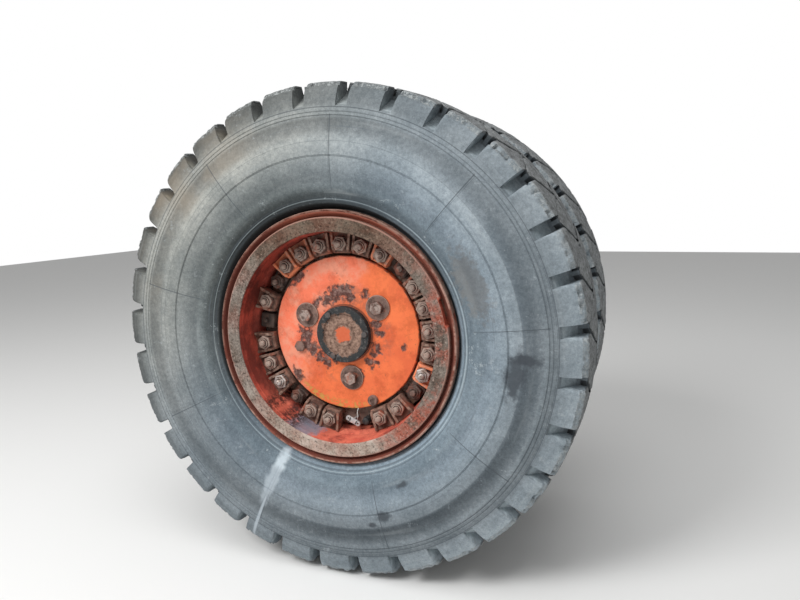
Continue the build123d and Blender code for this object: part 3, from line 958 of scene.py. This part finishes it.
def scale_finish():
    finish = Finish("lock_ring_scale", roughness=0.9, specular=0.15)
    radius, clock, _ = finish.polar()
    colour, fine = scaled(finish, radius, clock)
    notch = clock.between(PRY_CLOCK - 7, PRY_CLOCK + 7, 0.6)
    notch = notch * radius.ramp(PRY_R - 0.002, PRY_R)
    colour = colour.under((0.44, 0.085, 0.048), 0.75 * notch)
    return finish.dress(colour, fine + 1.2 * cloud(finish, 30, 5.0), 0.85, 0.004)


lock_outline = [
    (SEAT_R, -BACK), (LOCK_R, -BACK), (LOCK_R, -0.2005), (0.452, -LIP), (0.4197, -LIP), (SEAT_R, -LIP),
    (SEAT_R, -0.2028),
]
lock_shape = turned(rounded(moved(lock_outline, OUTER_MID), 0.003), 360)
for i, corner in enumerate(lock_shape.corners):
    radius = math.hypot(corner.x, corner.z)
    clock = math.degrees(math.atan2(corner.x, corner.z)) % 360
    if abs(clock - PRY_CLOCK) < PRY_HALF:
        lock_shape.corners[i] = on_wheel(min(radius, PRY_R), clock, corner.y)
    if abs(clock - SPLIT_CLOCK) < SPLIT_HALF:
        lock_shape.corners[i] = on_wheel(radius, clock, max(corner.y, SPLIT_Y))
replaced("rim_lock_ring", lock_shape, scale_finish(), "outer_rim_lock_ring")

# %% [markdown]
# ## Clamps, nuts and studs
#
# Nineteen wedge clamps press the rim on the hub. All of them are one mesh with one finish, but some kept
# their paint, so the finish needs to know which clamp it is on: a window on the clock picks one out.
# The flat where the nut sits is darker than the worn top of the ribs, as painted shade round the nut, and
# the foot is darkened by grime and painted shade.

# %% Rust that differs from clamp to clamp
CLAMP_HALF = 6.4


def window(clock, station):
    """1 within half a clamp's width of a station, in degrees."""
    angle = STATIONS[station] % 360
    return clock.between(angle - CLAMP_HALF, angle + CLAMP_HALF, 0.4)


def clamp_finish():
    finish = Finish("clamp_rust", roughness=0.85, specular=0.18)
    _, clock, y = finish.polar()
    brown = blotched(finish, (0.090, 0.044, 0.033), (0.275, 0.165, 0.125), 0.34, 0.64, 26, 7.0, 0.7)
    colour = brown.under((0.32, 0.085, 0.048), 0.75 * patches(finish, 0.52, 0.64, 13, 6.0))
    painted = window(clock, 20)
    for station, share in ((9, 1.0), (14, 0.7), (2, 0.35), (10, 0.45)):
        painted = either(painted, share * window(clock, station))
    kept = (cloud(finish, 30, 6.0, 0.7) + 0.5 * painted).ramp(0.58, 0.74)
    colour = colour.under((0.78, 0.25, 0.125), kept * painted)
    top = (CLAMP_FLAT - 0.0075 - y).ramp(0.0, 0.002) * patches(finish, 0.42, 0.6, 70, 5.0)
    colour = colour.under((0.40, 0.29, 0.23), 0.6 * top)
    # Painted shade round the nut: the flat is darkened.
    flat = y.between(CLAMP_FLAT - 0.0025, CLAMP_FLAT + 0.0015, 0.0008)
    colour = colour.under((0.060, 0.036, 0.030), 0.45 * flat)
    # Grime and painted shade: the foot, towards the stud flange, is darkened.
    low = 1 - (STUD_FACE - 0.005 - y).ramp(0.0, 0.035)
    colour = colour.under(GRIME_AND_SHADE, 0.35 * low)
    return finish.dress(colour, cloud(finish, 120, 6.0, 0.72), 0.7, 0.003)


clamp_rust = clamp_finish()
print("painted clamps stand at", [round(STATIONS[i] % 360) for i in (20, 9, 14)])

# %% [markdown]
# Each clamp is a short casting with a raised rib along both sides and a flat between them for the nut.
# Its section is a U that widens away from the axle, so it is a loft through six sections, bevelled as a
# casting is. It is made once and copied to its nineteen places.

# %% Cast the clamps
RIB = 0.0105
SIDE_GAP = 0.0105
CLAMP_SECTIONS = [
    (0.3142, 0.001, 0.0460, 0.0480), (0.3200, 0.001, 0.0525, 0.0560), (0.3300, 0.001, 0.0540, 0.0635),
    (0.3320, 0.0225, 0.0540, 0.0638), (0.3860, 0.0225, 0.0540, 0.0638), (0.3960, 0.0540, 0.0570, 0.0632),
]


def clamp_section(radius, back, floor, front):
    """A U across the clamp: X is measured from the stud, Z from the stud flange."""
    half = (2 * radius * math.tan(math.radians(STATION_STEP / 2)) - SIDE_GAP) / 2
    right = [(half, back), (half, front), (half - RIB, front), (half - RIB - 0.002, floor)]
    left = [(-y, z) for y, z in reversed(right)]
    return [(radius - STUD_R, y, z) for y, z in [left[-1], *right, *left[:-1]]]


clamp = bevelled(loft([clamp_section(*section) for section in CLAMP_SECTIONS]), 0.0024)
clamps = Shape().copies(clamp, [facing_out(STUD_R, c, STUD_FACE) for c in CLAMPED])
replaced("wedge_clamp_castings", clamps, clamp_rust, "wedge_clamps")

# %% [markdown]
# A nut is rusty all over, paler on its worn crown and on its stud's end, which carry a painted highlight
# as well, and dark round its collar and its foot, which is painted shade. Two of them have been off lately
# and are still bright. Which part of a nut a place is on follows from how far out it is along the axle.

# %% Steel of the nuts
NUT_TOP = CLAMP_FLAT - 0.0200


def nut_finish():
    finish = Finish("nut_steel", roughness=0.6, specular=0.3)
    _, clock, y = finish.polar()
    dull = blotched(finish, (0.060, 0.036, 0.030), (0.20, 0.130, 0.105), 0.36, 0.62, 50, 7.0, 0.7)
    colour = dull.under((0.36, 0.28, 0.235), 0.35 * patches(finish, 0.46, 0.60, 90, 5.0))
    colour = colour.under((0.34, 0.090, 0.046), 0.7 * patches(finish, 0.55, 0.66, 16, 4.0))
    # Worn and with a painted highlight: the crown and the stud's end are paler.
    worn_and_highlit = y.between(NUT_TOP - 0.0002, NUT_TOP + 0.0018, 0.0003)
    worn_and_highlit = either(worn_and_highlit, (NUT_TOP - 0.0046 - y).ramp(0.0, 0.0008))
    worn_and_highlit = 0.6 * worn_and_highlit * patches(finish, 0.36, 0.52, 65, 5.0, 0.7)
    colour = colour.under((0.46, 0.36, 0.30), worn_and_highlit)
    # Painted shade round the collar.
    collar = y.between(NUT_TOP - 0.0042, NUT_TOP - 0.0006, 0.0004)
    colour = colour.under((0.030, 0.022, 0.020), 0.7 * collar)
    bright = either(window(clock, 20), window(clock, 3))
    shine = 0.9 * bright * patches(finish, 0.40, 0.56, 55, 6.0, 0.7)
    colour = colour.under((0.50, 0.47, 0.45), shine)
    # Painted shade at the foot, where the nut meets the clamp.
    foot = 1 - (CLAMP_FLAT - 0.0032 - y).ramp(0.0, 0.0012)
    colour = colour.under((0.040, 0.028, 0.025), 0.55 * foot)
    grain = cloud(finish, 150, 5.0)
    return finish.dress(colour, grain, 0.5, 0.0015, 0.74 - 0.25 * bright, 0.45 * bright)


nut_steel = nut_finish()
print(len(nut_steel.tree.nodes), "nodes in the nuts' steel")

# %% [markdown]
# The nut itself is a hexagon whose corners are cut at the top, with a round collar on it, and its stud
# ends in a short threaded tip. The thread is a row of small ridges. No fitter stops all nuts at the
# same angle, so each copy gets a turn of its own, drawn with a fixed seed.

# %% Nuts with their stud ends
RIDGES = 4


def hex_nut(flats, high, chamfer=0.004):
    """A hexagon whose corners are cut at the top."""
    full, cut = flats / math.sqrt(3), flats / 2 * 1.02
    heights = [(full, 0.0), (full, high - chamfer * 0.55), (cut, high)]
    return bevelled(loft([polygon(radius, 6, height, 30) for radius, height in heights]), 0.0009)


def stud_tip(radius, low, high):
    """The end of a stud: ridges for the thread, then a chamfer."""
    step = (high - low - 0.004) / RIDGES
    outline = [(radius, low)]
    for i in range(RIDGES):
        outline += [(radius, low + step * i + step * 0.25), (radius - 0.0012, low + step * (i + 0.75))]
    outline += [(radius, high - 0.004), (radius - 0.003, high - 0.0008), (radius - 0.006, high)]
    return round_bar(outline)


def raised(height):
    return [Matrix.Translation((0, 0, height))]


foot = round_bar([(0.0285, 0.0), (0.0285, 0.0022), (0.0278, 0.003)], 32)
collar = [(0.0195, 0.0190), (0.0195, 0.0240), (0.0180, 0.0255), (0.0140, 0.0255), (0.0132, 0.0225)]
fastener = Shape().copies(foot).copies(hex_nut(0.052, 0.0195), raised(0.0005))
fastener.copies(round_bar(collar, 28)).copies(stud_tip(0.0115, 0.0215, 0.0400))
random.seed(7)
nut_places = [facing_out(STUD_R, c, CLAMP_FLAT, random.uniform(-30, 30)) for c in CLAMPED]
nuts = Shape().copies(fastener, nut_places)
replaced("clamp_nuts_and_tips", nuts, nut_steel, "clamp_nuts")

# %% [markdown]
# Four stations have no clamp. There the stud carries a square plate, and its nut sits deeper. A fifth
# has a bare casting pad with a square key on it.

# %% Bare studs and the stop pad
PLATE_HIGH = 0.026
bare = Shape()
plate = bevelled(bar(0.060, 0.060, 0.0002, PLATE_HIGH), 0.003)
for clock in BARE:
    bare.copies(plate, [facing_out(STUD_R, clock, STUD_FACE)])
    bare.copies(fastener, [facing_out(STUD_R, clock, STUD_FACE - PLATE_HIGH, random.uniform(-30, 30))])
replaced("bare_studs_and_plates", bare, nut_steel, "bare_studs")
pad_place = [facing_out(STUD_R, PAD, STUD_FACE)]
pad_shape = Shape().copies(bevelled(bar(0.060, 0.060, 0.0002, 0.034), 0.004), pad_place)
pad_shape.copies(bevelled(bar(0.014, 0.014, 0.034, 0.048), 0.002), pad_place)
pad_iron = Finish("stop_pad_iron", roughness=0.85, specular=0.3)
colour = blotched(pad_iron, (0.055, 0.042, 0.036), (0.14, 0.095, 0.075), 0.4, 0.65, 30, 6.0)
pad_iron.dress(colour, cloud(pad_iron, 120, 5.0))
replaced("stop_pad_casting", pad_shape, pad_iron, "stop_pad")

# %% [markdown]
# ## The valve gap
#
# At the bottom the row of stations is open, to leave room for the valves. The rubber end of the near
# valve stands there. It is black and dusty, and turned from one outline.

# %% Valve end
valve_outline = [
    (0.0125, 0.0002), (0.0125, 0.018), (0.0155, 0.022), (0.0155, 0.044), (0.0135, 0.048),
    (0.0135, 0.0535), (0.0095, 0.056),
]
valve_rubber = Finish("valve_rubber_black", roughness=0.6, specular=0.4)
colour = blotched(valve_rubber, (0.012, 0.013, 0.014), (0.05, 0.047, 0.044), 0.45, 0.65, 60, 5.0)
valve_rubber.dress(colour, cloud(valve_rubber, 200, 4.0), 0.3, 0.001)
valve_shape = Shape().copies(round_bar(valve_outline, 28), [facing_out(0.354, 167, STUD_FACE)])
replaced("valve_end", valve_shape, valve_rubber, "valve_stem")

# %% [markdown]
# Beside it stands a zinc-plated bracket: a foot, a flat on it, and an eye at each end of the flat. Zinc
# has spangles, soft patches of two greys, and rust comes through it in a few places.

# %% Bracket with its eyes
zinc = Finish("bracket_zinc", roughness=0.5, metallic=0.35, specular=0.5)
colour = zinc.mix((0.42, 0.43, 0.43), (0.60, 0.60, 0.58), patches(zinc, 0.4, 0.62, 80, 5.0))
colour = colour.under((0.20, 0.12, 0.085), 0.8 * patches(zinc, 0.57, 0.68, 35, 6.0))
zinc.dress(colour, cloud(zinc, 160, 4.0), 0.25, 0.001)
EYE_SIDES = 28


def eye(middle, radius, hole, low, high):
    """A flat ring whose middle is moved along X."""
    outline = [(hole, low), (radius, low), (radius, high), (hole, high)]
    shape = Shape()
    for r, h in outline:
        shape.corners += [Vector(c) + Vector((middle, 0, 0)) for c in polygon(r, EYE_SIDES, h)]
    for row in range(4):
        here, after = row * EYE_SIDES, (row + 1) % 4 * EYE_SIDES
        for i in range(EYE_SIDES):
            j = (i + 1) % EYE_SIDES
            shape.faces.append([here + i, here + j, after + j, after + i])
    return shape


flat = bevelled(bar(0.034, 0.0215, 0.0442, 0.0498), 0.0008)
stand = bevelled(bar(0.0058, 0.0215, 0.0002, 0.0450), 0.0008)
eyes = [eye(middle, 0.0107, 0.0042, 0.0442, 0.0498) for middle in (0.0215, -0.0215)]
bracket = Shape()
for part in (flat, stand, *eyes):
    bracket.copies(part, [facing_out(0.350, 176, STUD_FACE, 60)])
replaced("valve_bracket_with_eyes", bracket, zinc, "valve_bracket")

# %% [markdown]
# A thin white tie wire runs from the gap up to the hub cover. It is bent stiff, so a rod through a few
# points is enough: the same polygon at each point, turned to face along the wire.

# %% Tie wire
def rod(points, radius, sides=12):
    """A bent rod through a few points."""
    sections = []
    for i, here in enumerate(points):
        along = (points[min(i + 1, len(points) - 1)] - points[max(i - 1, 0)]).normalized()
        turn = along.to_track_quat("Z", "Y").to_matrix()
        sections.append([here + turn @ Vector(c) for c in polygon(radius, sides, 0)])
    return loft(sections)


wire_white = Finish("tie_wire_white", roughness=0.5, specular=0.5)
wire_white.dress(blotched(wire_white, (0.72, 0.72, 0.70), (0.50, 0.48, 0.45), 0.4, 0.6, 90, 4.0))
wire_points = [
    (0.3005, 171.6, -0.9700), (0.3045, 171.7, -0.9800), (0.3120, 172.0, -0.9850),
    (0.3230, 172.5, -0.9860), (0.3340, 172.3, -0.9865), (0.3430, 172.9, -0.9870),
    (0.3480, 173.2, -0.9855),
]
wire = rod([on_wheel(*p) for p in wire_points], 0.0014)
show("tie_wire", wire, wire_white)

# %% [markdown]
# ## The hub's cover
#
# The cover of the planetary gears is one flat casting, painted orange and never cleaned. The paint is
# bright on the right, pale and pinkish on the left, and worn to grey-brown iron round the cap and along
# the lower edge. All of that is laid on by clock angle and radius, with ragged borders. The worn patches
# are spots, in a table like the tyre's scuffs.

# %% Paint of the cover
WORN_PATCHES = [
    (0.158, 350, 0.030, 0.75), (0.150, 331, 0.026, 0.8), (0.140, 9, 0.022, 0.9),
    (0.165, 313, 0.018, 1.0), (0.182, 30, 0.020, 1.3), (0.168, 41, 0.014, 1.0), (0.137, 74, 0.022, 1.2),
    (0.146, 88, 0.018, 1.4), (0.140, 110, 0.022, 1.4), (0.150, 138, 0.024, 1.6),
    (0.168, 158, 0.018, 1.6), (0.142, 124, 0.015, 1.2), (0.186, 271, 0.017, 1.0),
    (0.180, 255, 0.022, 1.0), (0.176, 264, 0.027, 0.7), (0.158, 244, 0.024, 0.8),
    (0.150, 229, 0.024, 0.8), (0.147, 214, 0.018, 0.9), (0.156, 116, 0.014, 1.9),
    (0.166, 130, 0.014, 1.6), (0.168, 4, 0.026, 0.8), (0.298, 318, 0.018, 0.4),
    (0.120, 205, 0.012, 0.8), (0.245, 100, 0.010, 0.8), (0.283, 230, 0.018, 0.6),
]


def worn_through(finish):
    """1 where the cover's paint is gone."""
    marks = [
        spot(finish, radius, clock, size, ragged=1.7, scale=52, soft=0.4, squeeze=squeeze)
        for radius, clock, size, squeeze in WORN_PATCHES
    ]
    bare = marks[0]
    for mark in marks[1:]:
        bare = either(bare, mark)
    return bare


def cover_finish():
    finish = Finish("hub_cover_paint", roughness=0.62, specular=0.22)
    radius, clock, _ = finish.polar()
    x = finish.node("ShaderNodeSeparateXYZ", {}, {"Vector": finish.place})
    fresh = blotched(finish, (0.80, 0.192, 0.068), (0.68, 0.142, 0.054), 0.38, 0.66, 9, 7.0, 0.65)
    faded = blotched(finish, (0.74, 0.29, 0.19), (0.78, 0.188, 0.100), 0.38, 0.60, 15, 7.0, 0.65)
    side = x.other(2) * 0.55 - x + 0.5 * (cloud(finish, 6.0, 7.0, 0.66) - 0.5)
    colour = finish.mix(fresh, faded, side.ramp(0.0, 0.15))
    speck = cloud(finish, 75, 7.0, 0.75)
    spots = speck.ramp(0.60, 0.68) * patches(finish, 0.42, 0.58, 7, 4.0)
    colour = colour.under((0.19, 0.085, 0.055), 0.7 * spots)
    colour = colour * blotched(finish, (1.10, 1.06, 1.05), (0.86, 0.76, 0.72), 0.44, 0.66, 13, 8.0, 0.74)
    halo = radius.between(0.118, 0.196, 0.02) * patches(finish, 0.46, 0.62, 21, 7.0, 0.72)
    colour = colour.under((0.36, 0.115, 0.070), 0.6 * halo)
    bare = worn_through(finish)
    iron = blotched(finish, (0.040, 0.028, 0.028), (0.24, 0.175, 0.155), 0.44, 0.68, 44, 7.0, 0.75)
    colour = colour.under(iron, 0.92 * bare)
    edge = clock.between(165, 222, 6) * radius.ramp(0.262, 0.285)
    chips = edge * patches(finish, 0.48, 0.54, 44, 6.0, 0.66)
    colour = colour.under((0.56, 0.33, 0.085), 0.85 * chips)
    rim = radius.ramp(0.2985, 0.3025) * patches(finish, 0.40, 0.56, 40, 5.0)
    colour = colour.under((0.16, 0.075, 0.050), 0.85 * rim)
    shade = radius.between(0.1095, 0.116, 0.003)
    colour = colour.under((0.075, 0.04, 0.03), 0.8 * shade)
    height = speck - 1.5 * either(bare, chips) + 0.8 * cloud(finish, 22, 4.0)
    return finish.dress(colour, height, 0.5, 0.0022, 0.58 + 0.3 * either(bare, rim))


cover_paint = cover_finish()
print(len(cover_paint.tree.nodes), "nodes in the cover's paint")

# %% [markdown]
# The cover is a disc, so the lathe's outline starts and ends on the axle, and only its rim is rounded.

# %% Turn the cover
COVER_BACK = STUD_FACE - 0.0003
cover_outline = [(0, COVER_BACK), (0.3038, COVER_BACK), (0.3038, COVER_FACE), (0, COVER_FACE)]
cover = turned(rounded_disc(cover_outline, 0.006), 192, closed=False)
replaced("hub_cover_casting", cover, cover_paint, "hub_cover")

# %% [markdown]
# Three large bolts with thick round washers hold the cover. Wear and grease have turned them brown, and
# the washers' bevelled edges carry a painted highlight.

# %% Cover bolts
def bolt_finish():
    finish = Finish("cover_bolt_steel", roughness=0.65, specular=0.25)
    y = finish.polar()[2]
    brown = blotched(finish, (0.085, 0.052, 0.042), (0.220, 0.140, 0.115), 0.38, 0.60, 34, 6.0, 0.65)
    colour = brown.under((0.36, 0.105, 0.055), 0.6 * patches(finish, 0.55, 0.66, 18, 5.0))
    # Painted highlight on each washer's bevel.
    edge = y.between(COVER_FACE - 0.0067, COVER_FACE - 0.0050, 0.0003)
    colour = colour.under((0.44, 0.31, 0.25), 0.75 * edge)
    top = (COVER_FACE - 0.0245 - y).ramp(0.0, 0.001)
    colour = colour.under((0.42, 0.34, 0.30), 0.7 * top * patches(finish, 0.38, 0.58, 70, 5.0, 0.7))
    metal = 0.35 * patches(finish, 0.5, 0.62, 60, 5.0)
    return finish.dress(colour, cloud(finish, 110, 5.0), metallic=metal)


bolt_steel = bolt_finish()
washer = [(0.0485, 0.0002), (0.0490, 0.002), (0.0488, 0.0052), (0.0465, 0.0070), (0.0270, 0.0070)]
bolt = Shape().copies(round_bar(washer, 56)).copies(hex_nut(0.046, 0.020), raised(0.0068))
bolt.copies(round_bar([(0.0125, 0.020), (0.0125, 0.0285), (0.0105, 0.0294)]))
bolt_places = [facing_out(0.176, c, COVER_FACE, t) for c, t in ((52.7, 10), (172.7, 24), (292.7, -8))]
bolts = Shape().copies(bolt, bolt_places)
replaced("cover_bolts_and_washers", bolts, bolt_steel, "cover_bolts")

# %% [markdown]
# The cap over the drive shaft's end is black round its rim and rusty in its dish, with a spot of orange
# left in the middle. Its edge is rounded, and three small bolts sit in the rim. They share the cap's
# finish, so a small clean spot is painted where each of them is.

# %% Cap and its bolts
CAP_BOLTS = ((324, 5), (86, 20), (206, -12))
CAP_BOLT_R = 0.094


def cap_finish():
    finish = Finish("cap_black_and_rust", roughness=0.7, specular=0.2)
    radius = finish.polar()[0]
    fine = cloud(finish, 60, 7.0, 0.76)
    black = finish.mix((0.030, 0.032, 0.033), (0.17, 0.155, 0.15), fine.ramp(0.52, 0.70))
    rust = finish.mix((0.100, 0.055, 0.040), (0.34, 0.22, 0.165), fine.ramp(0.36, 0.62))
    dish = 1 - (radius + 0.09 * (cloud(finish, 30, 7.0, 0.75) - 0.5)).ramp(0.080, 0.084)
    colour = finish.mix(black, rust, dish)
    for clock, _ in CAP_BOLTS:
        head = spot(finish, CAP_BOLT_R, clock, 0.0115, ragged=0.1, scale=40, soft=0.15)
        colour = colour.under((0.12, 0.105, 0.10), 0.6 * head)
    middle = 1 - (radius + 0.06 * (cloud(finish, 45, 6.0, 0.7) - 0.5)).ramp(0.030, 0.036)
    colour = colour.under((0.62, 0.125, 0.050), 0.9 * middle)
    ring = radius.between(0.040, 0.047, 0.003)
    colour = colour.under((0.07, 0.045, 0.035), 0.3 * ring)
    return finish.dress(colour, fine, 0.6)


cap_outline = [
    (0.0, COVER_FACE), (0.1098, COVER_FACE), (0.1098, CAP_FACE), (0.0830, CAP_FACE), (0.0790, -1.0002),
    (0.0480, -0.9995), (0.0460, -1.0020), (0.0400, -1.0020), (0.0380, -0.9992), (0.0, -0.9992),
]
cap = turned(rounded_disc(cap_outline, 0.0035), 96, closed=False)
cap.copies(hex_nut(0.022, 0.0078, 0.002), [facing_out(CAP_BOLT_R, c, CAP_FACE, t) for c, t in CAP_BOLTS])
replaced("centre_cap_with_bolts", cap, cap_finish(), "centre_cap")

# %% [markdown]
# Two plugs close the oil holes of the cover, a hexagon at the left and a round one near the bottom.
# They are of the same steel as the cover's bolts.

# %% Plugs
plug = Shape().copies(hex_nut(0.040, 0.0138, 0.003), [facing_out(0.208, 253, COVER_FACE, 15)])
drain = [(0.0208, 0.0002), (0.0210, 0.010), (0.0185, 0.0135), (0.0090, 0.0138), (0.0085, 0.0100)]
plug.copies(round_bar(drain, 32), [facing_out(0.282, 157, COVER_FACE)])
replaced("cover_plugs_hex_and_round", plug, bolt_steel, "cover_plugs")

# %% [markdown]
# ## Hub, spindle and drive shaft
#
# These come from the CAD model as they are, because their shapes are already right. Only their finishes
# change. The hub's front face still shows the rings of the lathe in the valve gap, under rust and grease.

# %% Iron and steel behind the wheel
def iron(name, light, dark, rust_share, node, roughness=0.75, metallic=0.0):
    """Gives a CAD node a finish of lathe rings and rust."""
    finish = Finish(name, roughness=roughness, metallic=metallic, specular=0.25)
    radius, clock, _ = finish.polar()
    colour = blotched(finish, dark, light, 0.38, 0.62, 11, 7.0, 0.62)
    lathe_rings = rings(finish, radius, clock, 420, 3.0).ramp(0.42, 0.6)
    colour = colour.under(tuple(1.25 * c for c in light), 0.3 * lathe_rings)
    colour, mask = rusty(finish, colour, (0.16, 0.085, 0.055), rust_share, 12.0)
    height = cloud(finish, 90, 6.0, 0.7) + 0.5 * lathe_rings
    finish.dress(colour, height, 0.35, 0.002, roughness + 0.15 * mask)
    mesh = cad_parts[node].data
    mesh.materials.clear()
    mesh.materials.append(finish.material)
    print(node, "is dressed in", name)


iron("hub_iron", (0.24, 0.175, 0.145), (0.12, 0.080, 0.064), 0.50, "hub")
iron("spacer_rust", (0.17, 0.11, 0.085), (0.10, 0.055, 0.042), 0.60, "spacer_band")
iron("spindle_iron", (0.17, 0.165, 0.16), (0.10, 0.095, 0.09), 0.30, "spindle")
iron("shield_paint", (0.46, 0.115, 0.055), (0.28, 0.07, 0.04), 0.48, "brake_shield")
iron("shaft_steel", (0.42, 0.41, 0.39), (0.28, 0.27, 0.26), 0.20, "drive_shaft", 0.42, 0.6)

# %% [markdown]
# ## Floor, light and camera
#
# The stage is plain, so that the finishes can be judged: a pale floor, an even surround, and two large
# soft lamps, one high on the left, where the open sky is, and a wide weak one above. Rays that the
# camera, gloss or glass sends out see the surround as white, and only the light that it gives is less.

# %% Floor and surround
FLOOR = -CROWN_R
FLOOR_REACH = 14.0
SURROUND_LIGHT, SURROUND_SEEN = 0.36, 1.0
floor_mesh = bpy.data.meshes.new("floor")
signs = ((-1, -1), (1, -1), (1, 1), (-1, 1))
floor_corners = [(a * FLOOR_REACH, b * FLOOR_REACH, FLOOR) for a, b in signs]
floor_mesh.from_pydata(floor_corners, [], [(0, 1, 2, 3)])
floor = bpy.data.objects.new("floor", floor_mesh)
bpy.context.scene.collection.objects.link(floor)
floor_finish = Finish("pale_floor", roughness=0.9, specular=0.2)
floor_finish.shader.inputs["Base Color"].default_value = (0.86, 0.86, 0.85, 1)
floor_mesh.materials.append(floor_finish.material)

world = bpy.data.worlds.new("surround")
bpy.context.scene.world = world
world.use_nodes = True
surround = Graph(world.node_tree)
ray = surround.node("ShaderNodeLightPath", {}, {}, "Is Camera Ray")
seen = either(ray, ray.other("Is Glossy Ray"))
seen = either(seen, ray.other("Is Transmission Ray"))
levels = {0: seen, 2: SURROUND_LIGHT, 3: SURROUND_SEEN}
strength = surround.node("ShaderNodeMix", {"data_type": "FLOAT"}, levels)
background = world.node_tree.nodes["Background"]
background.inputs["Color"].default_value = (1, 1, 1, 1)
world.node_tree.links.new(strength.socket, background.inputs["Strength"])
print("the floor is at", FLOOR)

# %% [markdown]
# A soft lamp is a large square. It is placed by a point and turned to look at another, which is easier to
# think about than angles. The lamps and the surround together light a white card to about white.

# %% Lamps
def lamp(name, place, aim, size, watts):
    data = bpy.data.lights.new(name, "AREA")
    data.shape = "SQUARE"
    data.size = size
    data.energy = watts
    made = bpy.data.objects.new(name, data)
    made.location = place
    made.rotation_euler = (Vector(aim) - Vector(place)).to_track_quat("-Z", "Y").to_euler()
    bpy.context.scene.collection.objects.link(made)


lamp("sky_left", (-2.6, -5.6, 4.6), (0, -0.9, 0), 2.6, 365)
lamp("sky_top", (0.8, -3.2, 5.2), (0, -0.6, 0), 4.0, 135)
print("two lamps and a white surround")

# %% [markdown]
# The camera stands where the photographer stood: at eye level in front of the wheel, a little to the
# right. Its place, angles and focal length come from fitting circles of the wheel to the photograph.

# %% Camera where the photographer stood
PHOTO_WIDTH = 800
SENSOR = 36.0
FOCAL_PIXELS = 650.0
yaw, pitch, roll = 0.357, -0.1555, -0.0232
camera_data = bpy.data.cameras.new("camera")
camera_data.sensor_width = SENSOR
camera_data.lens = FOCAL_PIXELS * SENSOR / PHOTO_WIDTH
camera = bpy.data.objects.new("camera", camera_data)
forward = Vector((-math.sin(yaw) * math.cos(pitch), math.cos(yaw) * math.cos(pitch), math.sin(pitch)))
level = Vector((math.cos(yaw), math.sin(yaw), 0))
upward = level.cross(forward)
right = level * math.cos(roll) + upward * math.sin(roll)
top = upward * math.cos(roll) - level * math.sin(roll)
turn = Matrix((right, top, -forward)).transposed().to_4x4()
camera.matrix_world = Matrix.Translation((1.070, OUTER_MID - 2.330, 0.516)) @ turn
bpy.context.scene.collection.objects.link(camera)
bpy.context.scene.camera = camera
bpy.context.scene.view_settings.view_transform = "Standard"
print("camera at", [round(v, 3) for v in camera.location])
